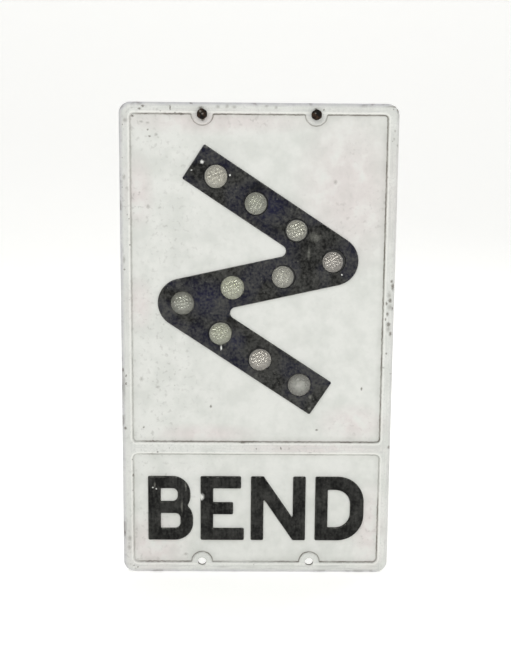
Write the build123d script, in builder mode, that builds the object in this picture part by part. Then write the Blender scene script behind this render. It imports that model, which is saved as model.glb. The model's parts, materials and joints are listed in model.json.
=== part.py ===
from build123d import *
import os
from math import cos, radians, sin

# A cast light-alloy road sign that warns of a double bend, with ten glass reflectors.
# Millimetres. X runs across the sign, Z is up and the front faces -Y.
# The origin lies midway between the two lower fixing holes, on the plate's rear face.

# Plate
plate_width = 304.8
plate_height = 533.4
corner_radius = 12.7
web = 4.5
relief = 2.5
lip_width = 4.0
lip_depth = 5.0
border = 12.7
bar_width = 15.0
word_panel_height = 128.0
upper_panel_corner = 4.0
word_panel_corner = 5.0
edge_round = 5.0
relief_round = 0.6

# Fixing holes, lugs and the bolts left in the upper pair
hole_spacing = 123.8
hole_inset = 12.7
lug_radius = 12.0
bolt_diameter = 6.35
hole_clearance = 1.6
head_bearing = 0.9
head_height = 4.8
bolt_length = 19.0
washer_bearing = 2.7
washer_thickness = 1.6
washer_clearance = 0.25
spot_face_clearance = 1.0
nut_height = 5.4
thread_clearance = 0.1

# Double-bend symbol
band_width = 44.5
arm_slope = 33.2
middle_slope = 12.5
arm_offset = 71.1
arm_reach = 132.3
bend_radius = 27.5
inner_bend_radius = 6.5
reflector_end_margin = 29.2

# Word in raised block letters
cap_height = 76.2
stroke = 14.6
gap_b_e = 8.5
gap_e_n = 7.7
gap_n_d = 11.0
b_width = 51.5
b_waist_inset = 3.0
b_lower_counter = 17.4
b_radius = 20.5
b_waist_radius = 2.5
e_width = 50.0
e_top_inset = 3.5
e_middle_inset = 12.5
n_width = 62.8
n_diagonal = 18.2
d_width = 56.0
d_radius = 30.0
d_bowl = 15.8
d_counter_radius = 17.0

# Reflector and its seat in the casting
aperture_radius = 13.3
ledge = 3.0
ledge_width = 2.2
nose_clearance = 0.3
seat_clearance = 0.3
crown_proud = 0.8
edge_recess = 0.6
seal_thickness = 1.2
flange_thickness = 2.6
cup_wall = 0.8
cup_depth = 3.0
cup_taper = 1.5
cup_rim = 2.6
wire_radius = 0.8
ring_gap = 0.1
ring_opening = 38.0
groove_depth = 0.8
boss_wall = 4.5
boss_land = 1.6

# Levels from front to back, along Y
front_y = -(web + relief)
ledge_y = front_y + ledge
seal_y = ledge_y + seal_thickness
flange_y = seal_y + flange_thickness
cup_y = flange_y + cup_wall
ring_y = cup_y + ring_gap + wire_radius
groove_y = ring_y + wire_radius + ring_gap
boss_y = groove_y + boss_land

# Radii of the reflector pieces and of the seat
nose_radius = aperture_radius - nose_clearance
seat_radius = aperture_radius + ledge_width
flange_radius = seat_radius - seat_clearance
groove_radius = seat_radius + groove_depth
ring_radius = groove_radius - ring_gap - wire_radius
boss_radius = seat_radius + boss_wall
bowl_radius = flange_radius - cup_rim

# Sizes that follow the bolts
hole_radius = bolt_diameter / 2 + hole_clearance
head_width = 2 * (hole_radius + head_bearing)
washer_radius = hole_radius + washer_bearing

# Heights along Z of what lies on the plate
plate_bottom = -hole_inset
plate_top = plate_height - hole_inset
plate_middle = (plate_bottom + plate_top) / 2
upper_holes = plate_top - hole_inset
word_bottom = plate_bottom + border
word_top = word_bottom + word_panel_height
upper_bottom = word_top + bar_width
upper_top = plate_top - border
panel_width = plate_width - 2 * border
word_middle = (word_bottom + word_top) / 2
upper_middle = (upper_bottom + upper_top) / 2

# Planes parallel to the plate: a sketch on them has X across and Z up, and faces the front
rear_plane = Plane.XZ
lip_plane = Plane.XZ.offset(-lip_depth)
boss_plane = Plane.XZ.offset(-boss_y)
panel_plane = Plane.XZ.offset(web)
front_plane = Plane.XZ.offset(-front_y)

hole_x = hole_spacing / 2
upper_hole_spots = [(-hole_x, upper_holes), (hole_x, upper_holes)]
lower_hole_spots = [(-hole_x, 0), (hole_x, 0)]
hole_spots = upper_hole_spots + lower_hole_spots


# Symbol geometry, about the symbol's own middle


def meet(first_point, first_way, second_point, second_way):
    """Point where two lines in the plane of the plate cross."""
    gap = second_point - first_point
    along = gap.cross(second_way).Z / first_way.cross(second_way).Z
    return first_point + first_way * along


arm_way = Vector(cos(radians(arm_slope)), -sin(radians(arm_slope)))
arm_side = Vector(sin(radians(arm_slope)), cos(radians(arm_slope)))
middle_way = Vector(cos(radians(middle_slope)), sin(radians(middle_slope)))
middle_side = Vector(-sin(radians(middle_slope)), cos(radians(middle_slope)))
half_band = band_width / 2


def arm_and_middle(arm_shift, middle_shift):
    """Crossing of the upper arm's line and the middle's line, each moved sideways."""
    return meet(arm_side * (arm_offset + arm_shift), arm_way, middle_side * middle_shift, middle_way)


outer_corner = arm_and_middle(half_band, -half_band)
inner_corner = arm_and_middle(-half_band, half_band)
bend_middle = arm_and_middle(half_band - bend_radius, bend_radius - half_band)
end_upper = arm_side * (arm_offset + half_band) - arm_way * arm_reach
end_lower = arm_side * (arm_offset - half_band) - arm_way * arm_reach

# The lower half of the symbol is the upper half turned by half a turn
half_outline = [end_upper, outer_corner, inner_corner * -1, end_lower * -1]
outline = half_outline + [corner * -1 for corner in half_outline]

with BuildSketch() as zigzag:
    Polygon(*[(corner.X, corner.Y) for corner in outline], align=None)
    corners = zigzag.vertices().sort_by(Axis.X)
    fillet([corners[0], corners[-1]], bend_radius)
    fillet(zigzag.vertices().sort_by_distance((0, 0, 0))[:2], inner_bend_radius)

# Reflectors stand at the bends, evenly along the arms and evenly along the middle
first_along = reflector_end_margin - arm_reach
arm_pitch = (bend_middle.dot(arm_way) - first_along) / 3
arm_spots = [arm_side * arm_offset + arm_way * (first_along + place * arm_pitch) for place in range(3)]
middle_spot = middle_way * (bend_middle.dot(middle_way) / 3)
half_spots = arm_spots + [bend_middle, middle_spot]
symbol_spots = half_spots + [spot * -1 for spot in reversed(half_spots)]
reflector_spots = [(spot.X, spot.Y + upper_middle) for spot in symbol_spots]


# Block letters, each about its own lower left corner


def bowl(width, height, radius):
    """Rectangle whose two right-hand corners are round."""
    with BuildSketch() as face:
        Rectangle(width, height, align=(Align.MIN, Align.MIN))
        fillet(face.vertices().group_by(Axis.X)[-1], radius)
    return face.sketch


b_lower_height = b_lower_counter + 2 * stroke
b_upper_height = cap_height - b_lower_height + stroke
b_upper_start = cap_height - b_upper_height
b_upper_width = b_width - b_waist_inset
counter_radius = b_radius - stroke
b_lower = bowl(b_width, b_lower_height, b_radius)
b_upper = bowl(b_upper_width, b_upper_height, b_radius)
b_lower_hole = bowl(b_width - 2 * stroke, b_lower_counter, counter_radius)
b_upper_hole = bowl(b_upper_width - 2 * stroke, b_upper_height - 2 * stroke, counter_radius)
d_outer = bowl(d_width, cap_height, d_radius)
d_hole = bowl(d_width - stroke - d_bowl, cap_height - 2 * d_bowl, d_counter_radius)

with BuildSketch() as letter_b:
    add(b_lower)
    with Locations((0, b_upper_start)):
        add(b_upper)
    waist = letter_b.vertices().sort_by_distance((b_width, b_upper_start + stroke / 2, 0))[0]
    fillet(waist, b_waist_radius)
    with Locations((stroke, stroke)):
        add(b_lower_hole, mode=Mode.SUBTRACT)
    with Locations((stroke, b_upper_start + stroke)):
        add(b_upper_hole, mode=Mode.SUBTRACT)

with BuildSketch() as letter_e:
    Rectangle(stroke, cap_height, align=(Align.MIN, Align.MIN))
    Rectangle(e_width, stroke, align=(Align.MIN, Align.MIN))
    with Locations((0, cap_height / 2)):
        Rectangle(e_width - e_middle_inset, stroke, align=(Align.MIN, Align.CENTER))
    with Locations((0, cap_height)):
        Rectangle(e_width - e_top_inset, stroke, align=(Align.MIN, Align.MAX))

n_end = n_width - stroke
with BuildSketch() as letter_n:
    Polygon((stroke, cap_height), (stroke - n_diagonal, cap_height), (n_end, 0), (n_end + n_diagonal, 0),
            align=None)
    Rectangle(n_width, cap_height, align=(Align.MIN, Align.MIN), mode=Mode.INTERSECT)
    Rectangle(stroke, cap_height, align=(Align.MIN, Align.MIN))
    with Locations((n_width, 0)):
        Rectangle(stroke, cap_height, align=(Align.MAX, Align.MIN))

with BuildSketch() as letter_d:
    add(d_outer)
    with Locations((stroke, d_bowl)):
        add(d_hole, mode=Mode.SUBTRACT)

word_width = b_width + gap_b_e + e_width + gap_e_n + n_width + gap_n_d + d_width
word_base = word_middle - cap_height / 2
b_x = -word_width / 2
e_x = b_x + b_width + gap_b_e
n_x = e_x + e_width + gap_e_n
d_x = n_x + n_width + gap_n_d


# The casting

with BuildPart() as sign_plate:
    # Block of the whole depth, from the lip's rear edge to the border's face
    with BuildSketch(lip_plane):
        with Locations((0, plate_middle)):
            RectangleRounded(plate_width, plate_height, corner_radius)
    extrude(amount=lip_depth + web + relief)
    outer_rim = sign_plate.faces().sort_by(Axis.Y)[0].edges()
    fillet(outer_rim, edge_round)

    # Two sunk panels, with half-round lugs left standing round the holes
    with BuildSketch(front_plane):
        with Locations((0, upper_middle)):
            RectangleRounded(panel_width, upper_top - upper_bottom, upper_panel_corner)
        with Locations((0, word_middle)):
            RectangleRounded(panel_width, word_panel_height, word_panel_corner)
        with Locations(*hole_spots):
            Circle(lug_radius, mode=Mode.SUBTRACT)
    extrude(amount=-relief, mode=Mode.SUBTRACT)

    # Hollow back inside the stiffening lip, with room for a washer behind each hole
    with BuildSketch(rear_plane):
        with Locations((0, plate_middle)):
            RectangleRounded(plate_width - 2 * lip_width, plate_height - 2 * lip_width,
                             corner_radius - lip_width)
        with Locations(*hole_spots):
            Circle(washer_radius + spot_face_clearance)
    extrude(amount=-lip_depth, mode=Mode.SUBTRACT)

    # Raised symbol and word
    with BuildSketch(panel_plane):
        with Locations((0, upper_middle)):
            add(zigzag.sketch)
        with Locations((b_x, word_base)):
            add(letter_b.sketch)
        with Locations((e_x, word_base)):
            add(letter_e.sketch)
        with Locations((n_x, word_base)):
            add(letter_n.sketch)
        with Locations((d_x, word_base)):
            add(letter_d.sketch)
    extrude(amount=relief)
    relief_tops = sign_plate.faces().filter_by(Plane.XZ).group_by(Axis.Y)[0]
    border_face = relief_tops.sort_by(lambda top: top.bounding_box().diagonal)[-1]
    raised_edges = [edge for top in relief_tops if top != border_face for edge in top.edges()]
    raised_edges += [edge for wire in border_face.inner_wires() for edge in wire.edges()]
    fillet(raised_edges, relief_round)

    # Reflector bosses behind, then their stepped bores with a groove for the spring ring
    with BuildSketch(rear_plane):
        with Locations(*reflector_spots):
            Circle(boss_radius)
    extrude(amount=-boss_y)
    with BuildSketch(front_plane):
        with Locations(*reflector_spots):
            Circle(aperture_radius)
    extrude(amount=-ledge, mode=Mode.SUBTRACT)
    with BuildSketch(boss_plane):
        with Locations(*reflector_spots):
            Circle(seat_radius)
    extrude(amount=boss_y - ledge_y, mode=Mode.SUBTRACT)
    with BuildSketch(Plane.XZ.offset(-groove_y)):
        with Locations(*reflector_spots):
            Circle(groove_radius)
    extrude(amount=groove_y - cup_y, mode=Mode.SUBTRACT)

    # Fixing holes through the lugs
    with BuildSketch(front_plane):
        with Locations(*hole_spots):
            Circle(hole_radius)
    extrude(amount=-(web + relief), mode=Mode.SUBTRACT)


# Reflector pieces, turned about an axis along Y through the middle of the reflector


def turning_plane(spot, angle=0):
    """Plane through a reflector's axis: its X is the radius at that angle and its Y is the part's Y."""
    across = (cos(radians(angle)), 0, sin(radians(angle)))
    return Plane(origin=(spot[0], 0, spot[1]), x_dir=across, z_dir=(-across[2], 0, across[0]))


def turning_axis(spot):
    """Axis of a reflector, from front to back."""
    return Axis((spot[0], 0, spot[1]), (0, 1, 0))


def make_lens(spot):
    """Glass lens with a domed nose and a flange."""
    with BuildPart() as lens:
        with BuildSketch(turning_plane(spot)):
            with BuildLine():
                crown = (0, front_y - crown_proud)
                rim = (nose_radius, front_y + edge_recess)
                TangentArc(crown, rim, tangent=(1, 0))
                Polyline(rim, (nose_radius, seal_y), (flange_radius, seal_y), (flange_radius, flange_y),
                         (0, flange_y), crown)
            make_face()
        revolve(axis=turning_axis(spot))
    return lens.part


def make_seal(spot):
    """Flat rubber ring between the ledge and the lens flange."""
    with BuildPart() as seal:
        with BuildSketch(turning_plane(spot)):
            with BuildLine():
                Polyline((aperture_radius, ledge_y), (flange_radius, ledge_y), (flange_radius, seal_y),
                         (aperture_radius, seal_y), close=True)
            make_face()
        revolve(axis=turning_axis(spot))
    return seal.part


def make_cup(spot):
    """Pressed cup that closes the back of the lens."""
    floor_y = flange_y + cup_depth
    floor_radius = bowl_radius - cup_taper
    with BuildPart() as cup:
        with BuildSketch(turning_plane(spot)):
            with BuildLine():
                Polyline((flange_radius, flange_y), (bowl_radius, flange_y), (floor_radius, floor_y),
                         (0, floor_y), (0, floor_y + cup_wall), (floor_radius + cup_wall, floor_y + cup_wall),
                         (bowl_radius + cup_wall, cup_y), (flange_radius, cup_y), close=True)
            make_face()
        revolve(axis=turning_axis(spot))
    return cup.part


def make_ring(spot):
    """Open ring of spring wire, with its opening at the bottom."""
    with BuildPart() as ring:
        with BuildSketch(turning_plane(spot, -90 - ring_opening / 2)):
            with Locations((ring_radius, ring_y)):
                Circle(wire_radius)
        revolve(axis=turning_axis(spot), revolution_arc=360 - ring_opening)
    return ring.part


# Bolts, washers and nuts in the upper lugs

with BuildPart() as fixing_bolts:
    with BuildSketch(front_plane):
        with Locations(*upper_hole_spots):
            RegularPolygon(head_width / 2, 6, major_radius=False, rotation=30)
    extrude(amount=head_height)
    with BuildSketch(front_plane):
        with Locations(*upper_hole_spots):
            Circle(bolt_diameter / 2)
    extrude(amount=-bolt_length)

with BuildPart() as fixing_washers:
    with BuildSketch(rear_plane):
        with Locations(*upper_hole_spots):
            Circle(washer_radius)
            Circle(bolt_diameter / 2 + washer_clearance, mode=Mode.SUBTRACT)
    extrude(amount=-washer_thickness)

with BuildPart() as fixing_nuts:
    with BuildSketch(Plane.XZ.offset(-washer_thickness)):
        with Locations(*upper_hole_spots):
            RegularPolygon(head_width / 2, 6, major_radius=False)
            Circle(bolt_diameter / 2 + thread_clearance, mode=Mode.SUBTRACT)
    extrude(amount=-nut_height)


# Write one file for each piece

pieces = {
    "sign_plate": sign_plate.part,
    "fixing_bolts": fixing_bolts.part,
    "fixing_washers": fixing_washers.part,
    "fixing_nuts": fixing_nuts.part,
}
for number, spot in enumerate(reflector_spots, start=1):
    pieces[f"reflector_lens_{number:02d}"] = make_lens(spot)
    pieces[f"reflector_seal_{number:02d}"] = make_seal(spot)
    pieces[f"reflector_cup_{number:02d}"] = make_cup(spot)
    pieces[f"reflector_ring_{number:02d}"] = make_ring(spot)

os.makedirs("parts", exist_ok=True)
for name, piece in pieces.items():
    piece.label = name
    export_step(piece, f"parts/{name}.step")
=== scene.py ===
import json
from collections import namedtuple
from functools import partial
from math import asin, atan2, cos, pi, radians, sin, sqrt, tan

import bmesh
import bpy
from bpy.props import FloatProperty, FloatVectorProperty, PointerProperty
from mathutils import Matrix, Vector


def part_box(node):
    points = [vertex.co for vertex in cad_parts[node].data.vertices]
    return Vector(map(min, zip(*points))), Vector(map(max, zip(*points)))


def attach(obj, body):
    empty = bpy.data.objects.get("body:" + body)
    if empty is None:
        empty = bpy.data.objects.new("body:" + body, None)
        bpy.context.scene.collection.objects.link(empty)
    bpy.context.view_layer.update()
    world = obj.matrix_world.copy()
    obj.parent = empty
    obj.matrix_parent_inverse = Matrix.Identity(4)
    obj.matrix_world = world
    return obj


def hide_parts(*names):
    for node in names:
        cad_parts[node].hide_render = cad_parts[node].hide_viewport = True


bl_info = {
    "name": "Bend Warning Sign",
    "version": (1, 0, 0),
    "blender": (4, 5, 0),
    "location": "View3D > Sidebar > Sign",
    "description": "Models and finishes a cast road sign around its packed frame",
    "category": "Object",
}

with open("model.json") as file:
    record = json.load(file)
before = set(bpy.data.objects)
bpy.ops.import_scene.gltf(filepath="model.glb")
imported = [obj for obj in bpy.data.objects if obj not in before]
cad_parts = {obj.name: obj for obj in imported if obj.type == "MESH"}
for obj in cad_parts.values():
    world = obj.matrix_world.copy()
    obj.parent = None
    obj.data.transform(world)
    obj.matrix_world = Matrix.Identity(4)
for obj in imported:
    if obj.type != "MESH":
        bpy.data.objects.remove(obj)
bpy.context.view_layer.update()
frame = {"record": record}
MM = 0.001
# Points are merged within the first distance, and count as lying at a level within the second
WELD = MM / 1000
NEAR = MM / 100

# Places that come from the frame
PLATE_LOW, PLATE_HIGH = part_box("sign_plate")
FRONT = PLATE_LOW.y
RIM = PLATE_HIGH.y
NUMBERS = [f"{number:02d}" for number in range(1, 11)]
LENS_BOXES = [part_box(f"reflector_lens_{number}") for number in NUMBERS]
SPOTS = [((low.x + high.x) / 2, (low.z + high.z) / 2) for low, high in LENS_BOXES]
CROWN = LENS_BOXES[0][0].y
FLANGE_REAR = LENS_BOXES[0][1].y
FLANGE_RADIUS = (LENS_BOXES[0][1].x - LENS_BOXES[0][0].x) / 2
SEAL_LOW, SEAL_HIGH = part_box("reflector_seal_01")
CUP_LOW, CUP_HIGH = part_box("reflector_cup_01")
RING_LOW, RING_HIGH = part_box("reflector_ring_01")
BOLT_LOW, BOLT_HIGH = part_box("fixing_bolts")
WASHER_LOW, WASHER_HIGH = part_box("fixing_washers")
NUT_LOW, NUT_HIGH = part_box("fixing_nuts")
HOLES = next(mount["dims"] for mount in frame["record"]["mounts"] if mount["name"] == "lower_fixing_holes")
HOLE_X = HOLES["spacing_x_mm"] * MM / 2
HOLE_RADIUS = HOLES["hole_r_mm"] * MM
UPPER_HOLE_Z = (BOLT_LOW.z + BOLT_HIGH.z) / 2
UPPER_HOLES = [(-HOLE_X, UPPER_HOLE_Z), (HOLE_X, UPPER_HOLE_Z)]
LOWER_HOLES = [(-HOLE_X, 0), (HOLE_X, 0)]

# Photograph's frame in pixels, for the camera
FRAME_WIDTH, FRAME_HEIGHT = 511, 671


def linear(code):
    """Linear colour of an sRGB hex code."""
    parts = [int(code[start:start + 2], 16) / 255 for start in (1, 3, 5)]
    return [part / 12.92 if part <= 0.04045 else ((part + 0.055) / 1.055) ** 2.4 for part in parts] + [1.0]


# Settings


def length(name, description, millimetres):
    """Length property with its default given in millimetres."""
    return FloatProperty(name=name, description=description, default=millimetres * MM, unit="LENGTH",
                         precision=5)


def turn(name, description, degrees):
    """Angle property with its default given in degrees."""
    return FloatProperty(name=name, description=description, default=radians(degrees), subtype="ANGLE")


def colour(name, description, code):
    """Colour property with its default given as an sRGB hex code."""
    return FloatVectorProperty(name=name, description=description, default=linear(code), size=4,
                               subtype="COLOR", min=0, max=1)


class CastingSettings(bpy.types.PropertyGroup):
    corner_radius: length("Corner radius", "Radius of the plate's four corners", 12.7)
    edge_round: length("Edge round", "Rounding of the plate's outer front edge", 5.0)
    border: length("Border", "Width of the raised border", 12.7)
    relief: length("Relief", "Height of the border, symbol and letters over the panels", 2.5)
    bar_width: length("Bar", "Width of the bar between the panels", 15.0)
    word_panel: length("Word panel", "Height of the lower panel", 128.0)
    upper_corner: length("Upper corner", "Corner radius of the upper panel", 4.0)
    word_corner: length("Word corner", "Corner radius of the lower panel", 5.0)
    lug_radius: length("Lug radius", "Radius of the lugs round the fixing holes", 12.0)
    lug_fillet: length("Lug fillet", "Fillet between a lug and the border, at its face", 4.5)
    lip_width: length("Lip width", "Width of the stiffening lip behind", 4.0)
    boss_radius: length("Boss radius", "Radius of the bosses behind the reflectors", 20.0)
    boss_end: length("Boss end", "Distance of the bosses' ends behind the rear face", 4.0)
    aperture: length("Aperture", "Radius of the reflector openings in front", 13.3)
    seat: length("Seat", "Radius of the reflector seats behind the ledge", 15.5)
    groove: length("Groove", "Radius of the spring ring's groove", 16.3)


class SymbolSettings(bpy.types.PropertyGroup):
    band_width: length("Band width", "Width of the symbol's band", 44.5)
    arm_slope: turn("Arm slope", "Fall of the two arms to the right", 33.2)
    middle_slope: turn("Middle slope", "Rise of the middle stretch to the right", 12.5)
    arm_offset: length("Arm offset", "Distance of the arms from the symbol's middle", 71.1)
    arm_reach: length("Arm reach", "Length of the arms along their own line", 132.3)
    bend_radius: length("Bend radius", "Outer radius of the two bends", 27.5)
    inner_radius: length("Inner radius", "Radius in the two notches", 6.5)
    cap_height: length("Cap height", "Height of the letters", 76.2)
    stroke: length("Stroke", "Width of the letters' strokes", 14.6)


class PaintSettings(bpy.types.PropertyGroup):
    white: colour("White", "Aged white enamel", "#E0E1DC")
    white_warm: colour("Warm patches", "Pinkish patches in the white", "#DFD9D6")
    white_cool: colour("Chalked patches", "Tint of the chalked patches over the white", "#F3F4F3")
    # Painted highlight: a lighter white on the relief's shoulders, where the light falls on their rounding
    white_highlight: colour("Rubbed shoulders", "Cleaner white on the relief's shoulders", "#F1F1EB")
    # Also used as painted shade on the left border
    white_thin_and_shade: colour("Thin coat", "Greyer white where the brush left it thin", "#BFC0BD")
    # Partly worn enamel, partly painted shade on the plate's rounded outer edge
    rim_wear_and_shade_grey: colour("Rim grey", "Worn enamel on the outer edge", "#B9B8BE")
    # Also used as painted shade: at the feet of the relief, in the corners of the back and towards the
    # lenses' rims
    grime_and_shade: colour("Grime", "Dirt in the corners of the relief", "#6A655C")
    # Stained metal that is also painted shade: the dark inside the fixing holes, and the dark valleys between
    # the lenses' prisms
    hole: colour("Hole wall", "Stained metal inside the fixing holes", "#453F38")
    black: colour("Black", "Black enamel", "#0E0E0D")
    black_violet: colour("Violet black", "Faded patches in the black", "#191A31")
    black_grey: colour("Grey bloom", "Chalked patches in the black", "#4D4D4A")
    undercoat: colour("Undercoat", "Grey that shows where the black is scuffed", "#8C8C84")
    bare: colour("Bare casting", "Dulled light alloy of the back", "#A5A4A0")
    bare_dark: colour("Dark casting", "Darker patches of the back", "#757370")
    oxide: colour("Oxide", "Chalky bloom on the back", "#B9B9B3")
    rust_run: colour("Rust run", "Rust washed down from the fixings", "#6B4A32")


class ReflectorSettings(bpy.types.PropertyGroup):
    nose_radius: length("Nose radius", "Radius of the lens in its opening", 13.0)
    edge_recess: length("Edge recess", "Depth of the lens's edge behind the symbol's face", 0.6)
    prism: length("Prism", "Width of one moulded prism", 3.2)
    prism_length: length("Prism length", "Length of one moulded prism", 3.6)
    prism_height: length("Prism height", "Height of one moulded prism", 1.35)
    prism_gap: length("Prism gap", "Flat gap between the prisms", 0.5)
    field: length("Prism field", "Radius that the prisms fill", 11.2)
    cup_wall: length("Cup wall", "Sheet thickness of the cup", 0.8)
    cup_rim: length("Cup rim", "Width of the cup's flat rim", 2.6)
    cup_taper: length("Cup taper", "Narrowing of the cup towards its floor", 1.5)
    ring_opening: turn("Ring opening", "Gap in the spring ring", 38)
    glass: colour("Glass", "Tint of the moulded glass", "#F7FAE3")
    glass_warm: colour("Warm glass", "Tint of the warmer lenses", "#FBF4EB")
    glass_dim: colour("Dim glass", "Tint of the duller lenses", "#DEDFD6")
    cup: colour("Cup", "Pressed aluminium", "#A9A9A5")
    cup_oxide: colour("Cup oxide", "Dull spots on the aluminium", "#8A8A85")
    rubber: colour("Rubber", "Black rubber", "#1C1C1B")
    rubber_bloom: colour("Rubber bloom", "Grey bloom on old rubber", "#3B3A38")
    wire: colour("Wire", "Drawn spring wire", "#8A8884")


class FixingSettings(bpy.types.PropertyGroup):
    shank: length("Shank", "Diameter of the bolts", 6.35)
    pitch: length("Thread pitch", "Pitch of the bolts' thread", 1.27)
    thread_depth: length("Thread depth", "Depth of the bolts' thread", 0.7)
    washer_gap: length("Washer gap", "Room between washer and bolt", 0.25)
    nut_gap: length("Nut gap", "Room between nut and bolt", 0.1)
    worn_corner: length("Worn corner", "Wear of the bolt heads' corners", 1.9)
    worn_flat: length("Worn flats", "Wear across the bolt heads' flats", 0.5)
    steel: colour("Steel", "Blackened steel", "#0F0D0C")
    rust: colour("Rust", "Rust on the steel", "#3B2A1E")
    # Partly worn steel, partly a painted highlight on the bolt heads
    rubbed: colour("Rubbed steel", "Places where the black has worn off", "#8C8881")


class StageSettings(bpy.types.PropertyGroup):
    floor: colour("Floor", "Pale studio paper", "#F4F4F2")
    camera_x: length("Camera X", "Camera's place across", -16.6)
    camera_y: length("Camera Y", "Camera's place in depth", -1218.4)
    camera_z: length("Camera Z", "Camera's height", 469.2)
    yaw: turn("Yaw", "Camera's turn about the vertical", -0.68)
    pitch: turn("Pitch", "Camera's tilt", -9.53)
    roll: turn("Roll", "Camera's roll", -0.47)
    focal: FloatProperty(name="Focal length", description="Camera's focal length in pixels of the photograph",
                         default=1100.0, subtype="PIXEL")


# Modelling steps


def deselect_all():
    """Leave nothing selected, so that an operator acts on the new piece alone."""
    bpy.ops.object.select_all(action="DESELECT")


def choose(piece):
    """Make the piece the only one selected."""
    deselect_all()
    piece.select_set(True)
    bpy.context.view_layer.objects.active = piece


def edit(piece):
    """Open the piece in edit mode."""
    choose(piece)
    bpy.ops.object.mode_set(mode="EDIT")


def leave_edit():
    """Go back to object mode."""
    bpy.ops.object.mode_set(mode="OBJECT")


def pick(piece, kind, wanted):
    """In edit mode, select the vertices, edges or faces that a test accepts."""
    bpy.ops.mesh.select_mode(type=kind)
    bpy.ops.mesh.select_all(action="DESELECT")
    cage = bmesh.from_edit_mesh(piece.data)
    for item in {"VERT": cage.verts, "EDGE": cage.edges, "FACE": cage.faces}[kind]:
        if wanted(item):
            item.select_set(True)
    cage.select_flush(False)
    bmesh.update_edit_mesh(piece.data)


def named(name):
    """Name the active object and its mesh, and put its place into its mesh."""
    piece = bpy.context.object
    piece.name = name
    piece.data.name = name
    bpy.ops.object.transform_apply(location=True, rotation=True, scale=True)
    return piece


def draw(points, closed=True):
    """In edit mode, draw a line of edges by extruding one vertex from point to point."""
    bpy.ops.mesh.select_mode(type="VERT")
    bpy.ops.mesh.primitive_plane_add(size=MM, location=points[0])
    bpy.ops.mesh.merge(type="CENTER")
    path = points + points[:1] if closed else points
    for here, there in zip(path, path[1:]):
        bpy.ops.mesh.extrude_vertices_move(TRANSFORM_OT_translate={"value": Vector(there) - Vector(here)})


def start_piece(name):
    """Start an empty mesh in edit mode."""
    deselect_all()
    bpy.ops.mesh.primitive_plane_add(size=MM)
    piece = named(name)
    edit(piece)
    bpy.ops.mesh.select_all(action="SELECT")
    bpy.ops.mesh.delete(type="VERT")
    return piece


def weld():
    """In edit mode, merge doubled points and turn all faces outwards."""
    bpy.ops.mesh.select_all(action="SELECT")
    bpy.ops.mesh.remove_doubles(threshold=WELD)
    bpy.ops.mesh.normals_make_consistent(inside=False)


def step_up(name, loops, start, level, way, steps):
    """Solid over an outline with holes, from a start depth to a level, then in steps of (inset, rise)."""
    piece = start_piece(name)
    for loop in loops:
        draw([(x, start, z) for x, z in loop])
    bpy.ops.mesh.select_all(action="SELECT")
    bpy.ops.mesh.remove_doubles(threshold=WELD)
    bpy.ops.mesh.fill(use_beauty=True)
    cage = bmesh.from_edit_mesh(piece.data)
    if cage.faces[:][0].normal.y * way < 0:
        bpy.ops.mesh.flip_normals()
    bpy.ops.mesh.extrude_region_move(TRANSFORM_OT_translate={"value": (0, level - start, 0)})
    for inset, rise in steps:
        bpy.ops.mesh.inset(thickness=inset, depth=rise, use_boundary=True, use_even_offset=True)
    weld()
    leave_edit()
    return piece


def spin(name, profile, closed=False, steps=64, angle=2 * pi, start=0.0):
    """Solid or ring turned from a profile of (radius, depth) about the Y axis."""
    piece = start_piece(name)
    draw([(radius * cos(start), depth, radius * sin(start)) for radius, depth in profile], closed)
    bpy.ops.mesh.select_all(action="SELECT")
    bpy.ops.mesh.remove_doubles(threshold=WELD)
    if angle < 2 * pi:
        bpy.ops.mesh.edge_face_add()
    bpy.ops.mesh.spin(steps=steps, angle=angle, center=(0, 0, 0), axis=(0, 1, 0))
    weld()
    leave_edit()
    return piece


def copy_to(piece, name, x, z, angle=0.0):
    """Copy of a piece with its own mesh, turned about the Y axis and moved across the plate."""
    choose(piece)
    bpy.ops.object.duplicate(linked=False)
    if angle:
        bpy.ops.transform.rotate(value=angle, orient_axis="Y", center_override=(0, 0, 0))
    bpy.ops.transform.translate(value=(x, 0, z))
    return named(name)


def join(name, pieces):
    """Join pieces into one mesh."""
    choose(pieces[0])
    for piece in pieces[1:]:
        piece.select_set(True)
    bpy.ops.object.join()
    return named(name)


def combine(piece, tool, operation):
    """Add a tool's solid to the piece, cut it away, or keep what they share."""
    change = piece.modifiers.new(operation.lower(), "BOOLEAN")
    change.operation = operation
    change.object = tool
    change.solver = "MANIFOLD"
    choose(piece)
    bpy.ops.object.modifier_apply(modifier=change.name)
    bpy.data.objects.remove(tool)


def smooth(piece, degrees=35):
    """Smooth shading with sharp edges kept, and large flat faces left flat."""
    choose(piece)
    bpy.ops.object.shade_smooth_by_angle(angle=radians(degrees))
    even = piece.modifiers.new("even_normals", "WEIGHTED_NORMAL")
    even.keep_sharp = True
    bpy.ops.object.modifier_apply(modifier=even.name)


def note(piece, name, measure):
    """Write a number on each of the piece's points, for its material to read."""
    numbers = piece.data.attributes.new(name, "FLOAT", "POINT")
    for corner in piece.data.vertices:
        numbers.data[corner.index].value = measure(corner.co)


def hand_over(piece, node, slot, *materials):
    """Give the piece its finish and its body, and hide the node that it stands for."""
    piece.data.materials.clear()
    for material in materials:
        piece.data.materials.append(material)
    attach(piece, "root")
    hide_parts(node)


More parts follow.
